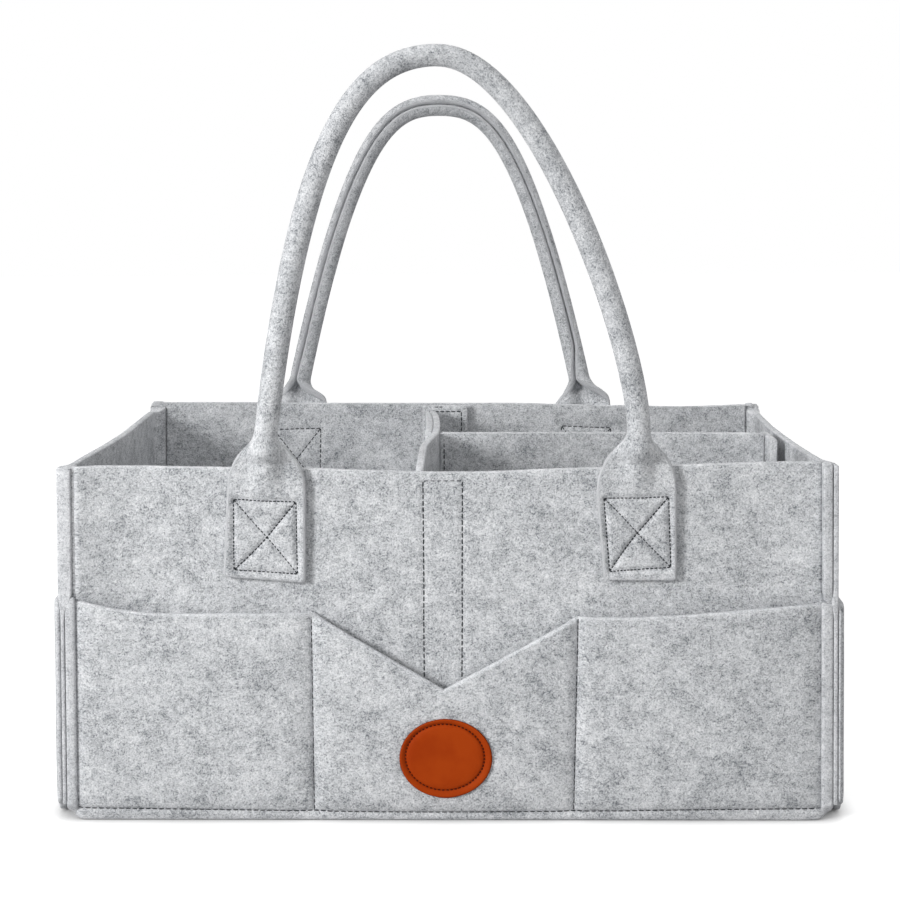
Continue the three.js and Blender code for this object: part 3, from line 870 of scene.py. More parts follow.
class CADDY_OT_walls(bpy.types.Operator):
    """Builds the front and back walls with their corner margins, and the two end walls"""

    bl_idname = "caddy.build_walls"
    bl_label = "Walls"

    def execute(self, context):
        for which, side in LONG_SIDES.items():
            self.long_wall(which, side)
        for which, side in END_SIDES.items():
            self.end_wall(which, side)
        return {"FINISHED"}

    def long_wall(self, which, side):
        radius = edge_radius()
        sheet = long_wall_sheet(side)
        boxes = [
            sheet.sew(line, "tab_inside", (INNER,)) for leg in (0, 1) for line in tab_lines(which, leg)
        ]
        tape = [sheet.sew(line, "tape", (OUTER,)) for line in tape_lines()]
        end = STRIP_END - radius
        places = [TAPE_SEAM_LEFT, TAPE_SEAM_RIGHT[::-1], (-end, -FIELD_END), (FIELD_END, end)]
        places += [(leg["x"] - 16, leg["x"] + 16) for leg in LOOPS[which]["legs"]]
        across = graded(-end, end, 7.0, places, 1.1, 3.0)
        places = [TAPE_SEAM_TOP, (128, 165), (SQUEEZE_FROM, SQUEEZE_TO)]
        up = graded(radius + FOOT_GAP, BAG_HEIGHT - radius, 7.0, places, 1.2, 3.0)
        rim = height_along(RIMS[side])
        grid = fitted(across, up, lambda x: rim(x) - radius, SQUEEZE_TO)
        grid = lift_corners(*grid, LONG_LIFT_FROM, LONG_LIFT_RUN)
        felt_piece(f"{which}_wall_felt", sheet, grid, "bag", [f"{which}_panel"], radius)
        sew_thread(f"{which}_wall_strip_stitches", sheet, tape, OUTER)
        sew_thread(f"{which}_wall_inside_stitches", sheet, boxes, INNER)

    def end_wall(self, which, side):
        def thickness(across, up):
            reach = np.abs(across) - layer(SEAM_PROUD, side, up) * (across < 0)
            sewn = smooth_step((reach - WALL_FACE + FELT - 1.2) / 2.5)
            pinched = smooth_step((reach - PINCH_FROM) / (PINCH_TO - PINCH_FROM))
            pinched = pinched * (1 - smooth_step((reach - PINCH_TO - 0.5) / 4))
            # At its edge the layer is as thick as the cut back margin beside it
            covered = layer(WALL_LAYER, side, up) + layer(SEAM_AIR, side, up)
            wraps = smooth_step((np.abs(across) - SEAM_TIP + CUT_BACK - 0.4) / 1.6)
            wraps = wraps * layer(WRAPS_OVER, side, up)
            in_seam = layer(END_LAYER, side, up) + 0.9 * covered * wraps
            return FELT + (in_seam - FELT) * sewn + PINCH[side] * pinched

        def middle(across, up):
            share = np.clip(np.abs(across) / (WALL_FACE - FELT), 0, 1)
            bowed = END_BOW[side] * (1 - share**2) ** 2 * (up / BAG_HEIGHT) ** 2
            x = half_length(up) - thickness(across, up) / 2 - bowed - drawn_in(across, side, up)
            x = x + ripple(across, up, 2.2 * side, 0.25) * (1 - share**2)
            return np.stack([side * x, across, up + 0 * x], -1)

        radius = edge_radius()
        sheet = FeltSheet(middle, thickness, side)
        seams = sew_corners(sheet, CORNER_LIFT + 1, BAG_HEIGHT - 2, "corner")
        end, field = SEAM_TIP - radius, WALL_FACE - 14
        across = graded(-end, end, 7.0, [(-end, -field), (field, end)], 0.9, 2.0)
        places = [(SQUEEZE_FROM, SQUEEZE_TO)]
        up = graded(radius + FOOT_GAP, BAG_HEIGHT - radius, 7.0, places, 2.5, 3.0)
        rim = height_along(END_RIMS[side])
        grid = fitted(across, up, lambda y: rim(y) - radius, SQUEEZE_TO)
        grid = lift_corners(*grid, END_LIFT_FROM, END_LIFT_RUN)
        felt_piece(f"{which}_end_wall_felt", sheet, grid, "bag", [f"{which}_end_panel"], radius)
        sew_thread(f"{which}_end_wall_stitches", sheet, seams, OUTER)


def lift_corners(across, up, from_across, run, lift=CORNER_LIFT):
    """Lifts the foot of the corners off the floor, with a soft turn that has a run of its own."""
    share = smooth_step((np.abs(across) - from_across) / run)
    near = np.clip(1 - up / CORNER_LIFT_RUN, 0, 1)
    return across, up + lift * share * near


class CADDY_OT_bottom(bpy.types.Operator):
    """Builds the bottom of the bag"""

    bl_idname = "caddy.build_bottom"
    bl_label = "Bottom"

    def execute(self, context):
        radius = edge_radius()
        low, high = node_box("bottom_panel")
        across = graded(low[0] + radius, high[0] - radius, 8.0)
        up = graded(low[1] + radius, high[1] - radius, 8.0)
        sheet = FeltSheet(flat_middle(2, FELT / 2))
        felt_piece("bottom_felt", sheet, tensor(across, up), "bag", ["bottom_panel"], radius)
        return {"FINISHED"}


# Outer pockets
POCKET_HEIGHT = 105.0
# Tops of the long pocket strips, left and right: height, rise at the corner, how far from the
# corner it begins, and how it bends
FRONT_POCKET_TOP = ((106.5, 11.0, 62.0, 2.0), (104.1, 8.2, 105.0, 1.15))
BACK_POCKET_TOP = ((105.0, 7.0, 45.0, 2.0), (105.0, 7.0, 45.0, 2.0))
# How far the pockets stand off the walls, and how much of that the felt's unevenness moves
POCKET_ROOM = 4.0
END_POCKET_ROOM = 2.2
POCKET_UNEVEN = 0.12
# How far before the walls' ends the pocket strips turn out into the seams
POCKET_TURN = 3.0
END_POCKET_TOPS = {-1: 111.0, 1: 108.6}
END_POCKET_LIFT = 10.8
# Over which length a pocket rises beside a seam, reaches its full room, and leaves its foot
POCKET_SEAM_RUN = 6.0
POCKET_ARCH = 55.0
POCKET_FOOT = 14.0
POCKET_AIR = 0.25
# Above this height the grid lines of a strip are squeezed under its top edge
POCKET_FITTED_FROM = 30
# The seam along the foot: its height, and how far it sinks in the middle of the bag
FOOT_SEAM = 6.6
FOOT_SEAM_SAG = 1.8
FOOT_SEAM_SAG_RUN = 100.0
# Where each seam stands at its top, and how far to the left of that its foot is
FRONT_POCKET_SEAMS = (-64.2, 61.8)
BACK_POCKET_SEAMS = (-63.5, 63.5)
SEAM_LEAN = {-64.2: -0.8, 61.8: 2.4, -63.5: 0.0, 63.5: 0.0}
# Tip of the V cut, and the share of the strip that the cut leaves
NOTCH = (-1.6, 67.9)


def pocket_stand_off(from_seam, up, room):
    """How far a pocket stands off its wall: a quick rise at its seams, then a low arch."""
    arch = 1 - (1 - np.clip(from_seam / POCKET_ARCH, 0, 1)) ** 2
    rise = 0.5 * smooth_step(from_seam / POCKET_SEAM_RUN) + 0.5 * arch
    return room * rise * smooth_step(up / POCKET_FOOT)


def foot_seam(across):
    """Height of the seam along the foot of a long pocket strip."""
    return FOOT_SEAM - FOOT_SEAM_SAG * np.exp(-((across / FOOT_SEAM_SAG_RUN) ** 4))


def seam_line(x):
    """A pocket's upright seam, from its foot to just under the pocket's top."""
    return [(x - SEAM_LEAN[x], foot_seam(x)), (x, POCKET_HEIGHT - 1.5)]


def pocket_top(across, shapes, seams, notch):
    """Height of a long pocket strip's top edge: it rises to the corners and may have a V cut."""
    tops = []
    for height, lift, run, power in shapes:
        rise = np.clip(1 - (HALF_RIM - np.abs(across)) / run, 0, 1)
        tops.append(height + lift * rise**power)
    top = np.where(across < 0, *tops)
    if notch:
        x, z = notch
        edge = np.where(across < x, seams[0], seams[1])
        inside = (across > seams[0]) & (across < seams[1])
        share = np.clip((across - x) / (edge - x), 0, 1)
        shoulder = np.where(across < x, shapes[0][0], shapes[1][0])
        top = np.where(inside, z + (shoulder - z) * share, top)
    return top


def long_pocket_sheet(side, seams):
    turn = FIELD_END - POCKET_TURN

    def middle(across, up):
        end = np.sign(across)
        under = layer(END_LAYER, end, 0) + layer(WALL_LAYER, end, 0) + 2 * layer(SEAM_AIR, end, 0)
        inset = layer(DRAWN_IN, end, 0) + under + layer(POCKET_LAYER, end, 0) / 2
        away = [np.abs(np.abs(across) - turn)]
        away += [distance_to_line(across, up, seam_line(x)) for x in seams]
        bulge = pocket_stand_off(np.min(away, axis=0), up, POCKET_ROOM)
        bulge = bulge * (1 + POCKET_UNEVEN * ripple(across, up, 3.1 * side, 1.0))
        out_middle = WALL_MIDDLE + FELT + POCKET_AIR
        x, out = wrapped(across, up, inset, out_middle, turn, bulge, POCKET_GROOVE_WIDTH, 0)
        return np.stack([x, side * out, up + 0 * x], -1)

    def thickness(across, up):
        share = smooth_step((np.abs(across) - turn) / SEAM_BEND)
        return FELT + (layer(POCKET_LAYER, np.sign(across), 0) - FELT) * share

    return FeltSheet(middle, thickness, facing=-side)


class CADDY_OT_pockets(bpy.types.Operator):
    """Builds the pocket strips round the bag, with their seams"""

    bl_idname = "caddy.build_pockets"
    bl_label = "Pockets"

    def execute(self, context):
        self.long_pocket("front", -1, FRONT_POCKET_SEAMS, FRONT_POCKET_TOP, NOTCH)
        self.long_pocket("back", 1, BACK_POCKET_SEAMS, BACK_POCKET_TOP, None)
        for which, side in END_SIDES.items():
            self.end_pocket(which, side)
        return {"FINISHED"}

    def long_pocket(self, which, side, seams, shapes, notch):
        radius = edge_radius(puffy=True)
        sheet = long_pocket_sheet(side, seams)
        bend = FIELD_END - POCKET_TURN
        strip_end = bend + SEAM_BEND * math.pi / 2
        strip_end += SEAM_TIP - (WALL_MIDDLE + FELT + POCKET_AIR) - SEAM_BEND + SEAM_GROOVE
        sewn = [sheet.sew(seam_line(x), "pocket", (OUTER,)) for x in seams]
        foot = [(x, foot_seam(x)) for x in np.linspace(-FIELD_END + 4, FIELD_END - 4, 23)]
        sewn.append(sheet.sew(foot, "pocket_foot", (OUTER,)))
        end = strip_end - radius
        places = [(-end, -bend), (bend, end), *[(x - SEAM_LEAN[x], x) for x in seams]]
        if notch:
            places.append(notch[0])
        across = graded(-end, end, 6.0, places, 0.8, 3.5)
        places = [(FOOT_SEAM - FOOT_SEAM_SAG, FOOT_SEAM), POCKET_TOP]
        up = graded(radius + FOOT_GAP, POCKET_TOP - radius, 6.0, places, 0.8, 4.0)

        def top(x):
            return pocket_top(x, shapes, seams, notch) - radius

        grid = fitted(across, up, top, POCKET_FITTED_FROM)
        grid = lift_corners(*grid, LONG_LIFT_FROM, LONG_LIFT_RUN)
        felt_piece(f"{which}_pocket_felt", sheet, grid, "bag", [f"{which}_pocket"], radius)
        sew_thread(f"{which}_pocket_stitches", sheet, sewn, OUTER)

    def end_pocket(self, which, side):
        def thickness(across, up):
            share = smooth_step((np.abs(across) - WALL_FACE + 1.5) / 3)
            return FELT + (END_POCKET_LAYER[side] - FELT) * share

        def middle(across, up):
            from_corner = np.clip(WALL_FACE - 1 - np.abs(across), 0, None)
            off = pocket_stand_off(from_corner, up, END_POCKET_ROOM)
            off = off * (1 + POCKET_UNEVEN * ripple(across, up, 4.3 * side, 1.0))
            x = half_length(up) + POCKET_AIR + thickness(across, up) / 2 + off - drawn_in(across, side, 0)
            return np.stack([side * x, across, up + 0 * x], -1)

        radius = edge_radius(puffy=True)
        height = END_POCKET_TOPS[side]
        sheet = FeltSheet(middle, thickness, side)
        sewn = sew_corners(sheet, END_POCKET_LIFT + 2, height - 2, "end_pocket")
        foot = [(-WALL_FACE + 3, FOOT_SEAM), (WALL_FACE - 3, FOOT_SEAM)]
        sewn.append(sheet.sew(foot, "end_pocket_foot", (OUTER,)))
        end, field = SEAM_TIP - 0.3 - radius, WALL_FACE - 2
        across = graded(-end, end, 6.0, [(-end, -field), (field, end)], 1.1, 2.0)
        up = graded(radius + FOOT_GAP, height - radius, 6.0, [FOOT_SEAM], 1.0, 4.0)
        grid = lift_corners(*tensor(across, up), END_LIFT_FROM, END_LIFT_RUN, END_POCKET_LIFT)
        felt_piece(f"{which}_end_pocket_felt", sheet, grid, "bag", [f"{which}_end_pocket"],
                   radius)
        sew_thread(f"{which}_end_pocket_stitches", sheet, sewn, OUTER)


# Handles: foot of the tab, start of the shoulder, neck, and where the roll is closed
TAB_FOOT = 122.2
SHOULDER_START = 167.0
NECK_HEIGHT = 191.0
ROLL_END = 197.0
TAB_AIR = 0.25
# Thread on the tabs: how thick it is beside the other threads, and how long its stitches are
TAB_THREAD = 1.2
TAB_STITCH = 2.0


def bezier(points, share):
    a, b, c, d = (np.array(point, float) for point in points)
    t = share[:, None]
    return (1 - t) ** 3 * a + 3 * (1 - t) ** 2 * t * b + 3 * (1 - t) * t**2 * c + t**3 * d


class HandlePath:
    """The line of a handle in the plane of its wall, from the foot of one tab to the other's."""

    def __init__(self, loop):
        left, right = (leg["x"] for leg in loop["legs"])
        crown = NECK_HEIGHT + loop["rise"]
        share = np.linspace(0, 1, 120)
        sides = []
        for leg, inward in zip(loop["legs"], (1, -1)):
            knee = (leg["x"] + inward * leg["lean"], NECK_HEIGHT + leg["lean_at"] * loop["rise"])
            shoulder = (loop["crown_x"] - inward * leg["reach"], crown)
            sides.append(bezier(
                ((leg["x"], NECK_HEIGHT), knee, shoulder, (loop["crown_x"], crown)), share
            ))
        feet = np.linspace(TAB_FOOT, NECK_HEIGHT, 60)[:-1]
        left_foot, right_foot = (np.stack([np.full(len(feet), x), feet], 1) for x in (left, right))
        line = np.concatenate([left_foot, sides[0], sides[1][-2::-1], right_foot[::-1]])
        lengths = np.concatenate([[0], np.cumsum(np.linalg.norm(np.diff(line, axis=0), axis=1))])
        self.length = float(lengths[-1])
        at = np.linspace(0, self.length, 500)
        place = np.stack([np.interp(at, lengths, line[:, k]) for k in (0, 1)], 1)
        # The bend at the neck is eased over about 12 mm
        for _ in range(30):
            place[1:-1] = 0.25 * place[:-2] + 0.5 * place[1:-1] + 0.25 * place[2:]
        self.at, self.place = at, place
        self.slope = np.gradient(place, at, axis=0)

    def point(self, along):
        return np.stack([np.interp(along, self.at, self.place[:, k]) for k in (0, 1)], -1)

    def tangent(self, along):
        slope = np.stack([np.interp(along, self.at, self.slope[:, k]) for k in (0, 1)], -1)
        return slope / np.linalg.norm(slope, axis=-1, keepdims=True)

    def foot_distance(self, along):
        """Distance from the nearer foot."""
        return np.minimum(along, self.length - along)


# Cross-section of a handle: the raised cone over the tab, where the roll starts to close, and how
# far its slit is turned to the outside of the loop. The nodes and weights add up along the section
CONE_ANGLE = math.radians(40)
CONE_HALF_WIDTH = 11.0
CONE_FROM = 158.0
CONE_TO = 185.0
CONE_GONE = 192.0
ROLL_FROM = 181.0
SLIT_TURN = 0.34
SECTION_NODES, SECTION_WEIGHTS = np.polynomial.legendre.leggauss(12)


def handle_sheet(loop, path, edges):
    """The felt strip of a handle: flat on its tabs, swelling at the shoulders, rolled above them.
    across runs over the strip's width as a share from -1 to 1, up along the whole strip in mm.
    edges gives the tabs' half widths at a leg, a height and a side."""
    handle = settings("caddy_handle")
    tab = handle.tab_width / MM
    side = loop["side"]
    half_way = path.length / 2

    def strip(along):
        """Half the rolled strip's width, half its turn, the cone's angle and the height."""
        height = TAB_FOOT + path.foot_distance(along)
        up_loop = (height - NECK_HEIGHT) / (half_way - NECK_HEIGHT + TAB_FOOT)
        rolled = np.interp(up_loop, (0, 0.5, 1), loop["rolled"]) / 2
        share = np.clip((height - SHOULDER_START) / (NECK_HEIGHT - SHOULDER_START), 0, 1)
        half_width = rolled + (tab / 2 - rolled) * (1 - share**2)
        closing = smooth_step((height - ROLL_FROM) / (ROLL_END - ROLL_FROM))
        half_turn = np.maximum(handle.roll_angle * closing, 1e-3)
        rising = smooth_step((height - CONE_FROM) / (CONE_TO - CONE_FROM))
        cone = CONE_ANGLE * rising * (1 - smooth_step((height - CONE_TO) / (CONE_GONE - CONE_TO)))
        return half_width, half_turn, cone, height

    def section(along, reach):
        """How far to the side and how far back the strip gets within a reach from its middle line."""
        half_width, half_turn, cone, _ = strip(along)
        steps = 0.5 * reach[..., None] * (SECTION_NODES + 1)
        angle = half_turn[..., None] * steps / half_width[..., None]
        angle = angle + cone[..., None] * np.sin(math.pi * np.minimum(steps / CONE_HALF_WIDTH, 1))
        sideways = 0.5 * reach * (np.cos(angle) * SECTION_WEIGHTS).sum(-1)
        back = 0.5 * reach * (np.sin(angle) * SECTION_WEIGHTS).sum(-1)
        return sideways, back

    def middle(across, along):
        across, along = np.broadcast_arrays(np.asarray(across, float), np.asarray(along, float))
        half_width, half_turn, _, height = strip(along)
        leg = np.where(along < half_way, 0, 1)
        flat = 1 - smooth_step((height - SHOULDER_START) / 14)
        wanted = np.where(leg == 0, edges(0, height, across), edges(1, height, across))
        half_width_here = half_width + (wanted - half_width) * flat
        # The slit lies a little to the outside of the loop, and at the neck as each leg is turned
        risen = smooth_step((height - NECK_HEIGHT - 4) / 26)
        near_neck = smooth_step((height - 174) / 12) * (1 - risen)
        turned = np.where(leg == 0, *[leg_of["turned"] for leg_of in loop["legs"]])
        crown = smooth_step((height - NECK_HEIGHT - 70) / 110)
        outward = SLIT_TURN * (1 - 0.6 * crown) * half_width / half_turn
        place_on = across * half_width_here + turned * near_neck + outward * risen
        sideways, back = section(along, np.abs(place_on))
        _, back_at_edge = section(along, half_width)
        depth = TAB_AIR + FELT / 2 + back_at_edge - back
        place = path.point(along)
        tangent = path.tangent(along)
        sideways = np.sign(place_on) * sideways
        x = place[..., 0] + tangent[..., 1] * sideways
        z = place[..., 1] - tangent[..., 0] * sideways
        # The foot of a tab is cut a little askew: how much its left and right corners are raised
        near_foot = np.clip(1 - (height - TAB_FOOT) / 20, 0, 1)
        feet = ([leg_of["foot"][k] for leg_of in loop["legs"]] for k in (0, 1))
        left_up, right_up = (np.where(leg == 0, *foot) for foot in feet)
        to_right = 0.5 + 0.5 * np.sign(tangent[..., 1]) * across
        z = z + near_foot * (left_up + (right_up - left_up) * to_right)
        return np.stack([x, side * (WALL_FACE + depth), z], -1)

    return FeltSheet(middle, FELT, -side, unit=tab / 2), strip


# Half widths of the tabs: to the left and to the right of the leg, at the shoulder and at the foot
TAB_EDGES = {
    ("front", 0): ((19.2, 22.3), (19.5, 18.7)),
    ("front", 1): ((19.8, 15.6), (19.5, 19.9)),
    ("back", 0): ((19.7, 20.2), (19.7, 19.0)),
    ("back", 1): ((19.7, 19.2), (19.7, 20.4)),
}


def tab_edges(which):
    """The half width of a tab at a leg and a height, on the side that across points to."""

    def edges(leg, height, across):
        share = np.clip((SHOULDER_START - height) / (SHOULDER_START - TAB_FOOT), 0, 1)
        left, right = (top + (foot - top) * share for top, foot in TAB_EDGES[which, leg])
        inward = across > 0
        return np.where(inward == (leg == 0), right, left)

    return edges


class CADDY_OT_handles(bpy.types.Operator):
    """Builds each handle as one felt strip: two sewn tabs and the roll between them"""

    bl_idname = "caddy.build_handles"
    bl_label = "Handles"

    def execute(self, context):
        for which, loop in LOOPS.items():
            self.handle(which, loop)
        return {"FINISHED"}

    def handle(self, which, loop):
        radius = edge_radius(puffy=True)
        path = HandlePath(loop)
        sheet, strip = handle_sheet(loop, path, tab_edges(which))
        # The strip runs up from the left foot and down to the right one
        ways = ((1, 0), (-1, path.length))
        lines = []
        for leg, (way, start) in enumerate(ways):
            foot_x = loop["legs"][leg]["x"]
            for line in tab_lines(which, leg):
                places = [(way * (x - foot_x), start + way * (z - TAB_FOOT)) for x, z in line]
                lines.append(sheet.sew(places, "tab", (OUTER,)))
        inset = radius / sheet.unit
        across = np.linspace(-1 + inset, 1 - inset, 42)
        tab, roll = SHOULDER_START + 2 - TAB_FOOT, ROLL_END + 4 - TAB_FOOT
        length = path.length
        places = [(0, tab), (tab, roll), (length - roll, length - tab), (length - tab, length)]
        up = graded(radius, length - radius, 3.2, places, 1.0, 0.0)
        half_width = strip(up)[0]
        nodes = [f"{which}_handle_{part}" for part in ("loop", "tab_left", "tab_right")]
        piece = felt_piece(f"{which}_handle_felt", sheet, tensor(across, up), None, nodes,
                           radius)
        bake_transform(piece)
        sew_thread(f"{which}_tab_stitches", sheet, lines, OUTER, length=TAB_STITCH, thick=TAB_THREAD)


# Divider: the cross divider is drawn to the right where the long divider is sewn to it, and behind
# that joint a leaf stands to its left
JOINT_X = -8.3
CROSS_FRONT_X = -13.4
FRONT_SWING_RUN = 62.0
CROSS_BACK_X = -13.2
BACK_SWING_POWER = 2.4
# The leaf is pressed thinner towards the back
LEAF_PRESSED = 1.4
LEAF_PRESSED_FROM = 70.0
LEAF_PRESSED_RUN = 45.0
LEAF_AIR = 0.1
INSERT_AIR = 0.25
LONG_BOW = 1.2
# Heights of the tops, at places along each divider
CROSS_TOP = ((-120, 175.5), (-60, 179.2), (-25, 179.8), (27, 179.2), (120, 177.4))
LONG_TOP = ((-10, 179.0), (180, 178.2))
FLAP_TOPS = {"front": 173.0, "back": 180.6}
# Stitches: columns across the long divider and its end flap, and rows on the back flap
LONG_COLUMN = -3.75
END_FLAP_SHIFT = 1.0
END_COLUMNS = {"outside": (-1.5, OUTER), "inside": (-4.2, INNER)}
FLAP_STITCH_INSET = 3.8
# A short row at the top of the back flap: its ends, and how far it lies below the edge
BACK_FLAP_TACK = (-12.3, -6.5, 1.1)


def cross_x(y, cross_end):
    """Middle of the cross divider at a depth."""
    front = (CROSS_FRONT_X - JOINT_X) * smooth_step(-y / FRONT_SWING_RUN)
    back = (CROSS_BACK_X - JOINT_X) * np.clip(y / cross_end, 0, 1) ** BACK_SWING_POWER
    return JOINT_X + front + back


class CADDY_OT_divider(bpy.types.Operator):
    """Builds the divider that lifts out: cross divider, leaf, long divider and flaps"""

    bl_idname = "caddy.build_divider"
    bl_label = "Divider"

    def execute(self, context):
        cross_end = node_box("cross_divider")[1][1]
        leaf_start = node_box("rear_divider_leaf")[0][1]
        start = JOINT_X + FELT / 2 + INSERT_AIR
        end = node_box("long_divider")[1][0] + END_FLAP_SHIFT

        def cross(across, up):
            return np.stack([cross_x(across, cross_end), across, up], -1)

        def leaf_thickness(across, up):
            pressed = smooth_step((across - LEAF_PRESSED_FROM) / LEAF_PRESSED_RUN)
            return FELT - LEAF_PRESSED * pressed + 0 * up

        def leaf(across, up):
            away = FELT / 2 + LEAF_AIR + leaf_thickness(across, up) / 2
            return np.stack([cross_x(across, cross_end) - away, across, up], -1)

        def long(across, up):
            bow = LONG_BOW * np.sin(math.pi * (across - start) / (end - start))
            return np.stack([across, bow * (up / INSERT_TOP) ** 2, up], -1)

        column = [(LONG_COLUMN, INSERT_BOTTOM + 3), (LONG_COLUMN, INSERT_TOP - 0.5)]
        leaf_sheet = FeltSheet(leaf, leaf_thickness, -1)
        for node, sheet, first, last, top, line in (
            ("cross_divider", FeltSheet(cross, FELT, -1), -cross_end, cross_end, CROSS_TOP, None),
            ("rear_divider_leaf", leaf_sheet, leaf_start, cross_end, CROSS_TOP, None),
            ("long_divider", FeltSheet(long), start, end, LONG_TOP, column),
        ):
            self.upright(node, sheet, first, last, height_along(top), line)
        self.end_flap()
        for which, side in LONG_SIDES.items():
            self.side_flap(which, side)
        return {"FINISHED"}

    def upright(self, node, sheet, start, end, top, column):
        radius = edge_radius()
        seams = [sheet.sew(column, "divider")] if column else []
        across = graded(start + radius, end - radius, 5.0, [line[0][0] for line in seams], 1.0, 3.5)
        up = graded(INSERT_BOTTOM + radius, INSERT_TOP - radius, 8.0)
        grid = fitted(across, up, lambda place: top(place) - radius, INSERT_TOP - 30)
        felt_piece(f"{node}_felt", sheet, grid, "divider", [node], radius)
        if seams:
            sew_thread(f"{node}_stitches", sheet, seams, OUTER, "divider")

    def end_flap(self):
        radius = edge_radius()
        low, high = node_box("right_divider_flap")
        sheet = FeltSheet(flat_middle(0, (low[0] + high[0]) / 2 + END_FLAP_SHIFT))
        columns = {
            name: (sheet.sew([(y, INSERT_BOTTOM + 3), (y, INSERT_TOP - 3)], "end_flap", (skin,)), skin)
            for name, (y, skin) in END_COLUMNS.items()
        }
        places = [y for y, _ in END_COLUMNS.values()]
        across = graded(low[1] + radius, high[1] - radius, 5.0, places, 1.0, 3.0)
        up = graded(INSERT_BOTTOM + radius, INSERT_TOP - radius, 8.0)
        felt_piece("end_flap_felt", sheet, tensor(across, up), "divider", ["right_divider_flap"],
                   radius)
        for name, (line, skin) in columns.items():
            sew_thread(f"end_flap_{name}_stitches", sheet, [line], skin, "divider")

    def side_flap(self, which, side):
        radius = edge_radius()
        low, high = node_box(f"{which}_divider_flap")
        top = FLAP_TOPS[which]

        def thickness(across, up):
            """Outside its stitches the flap thins towards its edges."""
            from_edge = np.minimum(np.minimum(across - low[0], high[0] - across), top - up)
            return FELT - 2.0 * (1 - np.clip(from_edge / FLAP_STITCH_INSET, 0, 1)) ** 2

        sheet = FeltSheet(flat_middle(1, (low[1] + high[1]) / 2), thickness, side)
        left, right = low[0] + FLAP_STITCH_INSET, high[0] - FLAP_STITCH_INSET
        row, foot = top - FLAP_STITCH_INSET, INSERT_BOTTOM + FLAP_STITCH_INSET
        lines = [[(left, row), (right, row)], [(right, row), (right, foot)], [(left, row), (left, foot)]]
        if which == "back":
            first, last, below = BACK_FLAP_TACK
            lines.append([(first, top - below), (last, top - below)])
        for line in lines:
            sheet.sew(line, "side_flap", (OUTER,))
        across = graded(low[0] + radius, high[0] - radius, 4.0, [left, right], 0.9, 3.8)
        up = graded(INSERT_BOTTOM + radius, top - radius, 8.0, [row], 0.9, 3.8)
        felt_piece(f"{which}_flap_felt", sheet, tensor(across, up), "divider", [f"{which}_divider_flap"],
                   radius)
        sew_thread(f"{which}_flap_stitches", sheet, lines, OUTER, "divider")


TAPE_EDGE = 0.4


class CADDY_OT_tapes(bpy.types.Operator):
    """Builds the loop tapes on the walls and the hook tapes on the divider's flaps"""

    bl_idname = "caddy.build_tapes"
    bl_label = "Tapes"

    def execute(self, context):
        for which, side in LONG_SIDES.items():
            for kind, body, faces in (("loop", "bag", -side), ("hook", "divider", side)):
                self.tape(f"{which}_{kind}", body, faces)
        return {"FINISHED"}

    def tape(self, name, body, faces):
        low, high = node_box(f"{name}_tape")
        size = high - low
        sheet = FeltSheet(flat_middle(1, (low[1] + high[1]) / 2), size[1], faces)
        across = graded(low[0] + TAPE_EDGE, high[0] - TAPE_EDGE, 4.0)
        up = graded(low[2] + TAPE_EDGE, high[2] - TAPE_EDGE, 8.0)
        piece = build_sheet(f"{name}_tape_strip", sheet, *tensor(across, up), TAPE_EDGE, fray=0)
        finish_piece(piece, "woven_nylon_tape", body, [f"{name}_tape"])


# Leather patch: points round it, how far it stays inside its solid at the ends, and how far the ring
# of stitches is shifted to the right and up
PATCH_SIDES = 144
PATCH_TRIM = 0.9
RING_SHIFT = (-0.4, 0.5)
# Distances of its ovals from the edge: close together at the edge and beside the stitches
PATCH_OVALS = (
    0.0, 0.12, 0.35, 0.7, 1.1, 1.7, 2.2, 2.6, 2.9, 3.15, 3.3, 3.45, 3.7, 4.0, 4.5, 5.5, 7.0, 9.0, 11.5,
    14.0, 16.5, 18.6,
)
# Its face sinks to the stitches and is full again inside them, it lies just above the pocket's
# felt, and the stitches press a groove into it: depth and width
PATCH_SUNK = 0.95
PATCH_AIR = 0.25
PATCH_GROOVE = (0.3, 0.5)
# The ring is sewn with a shorter stitch than the felt: its length, how much of it shows, and half
# its thread beside the usual thread
RING_STITCH = 1.85
RING_SHOWS = 0.7
RING_THREAD = 0.58


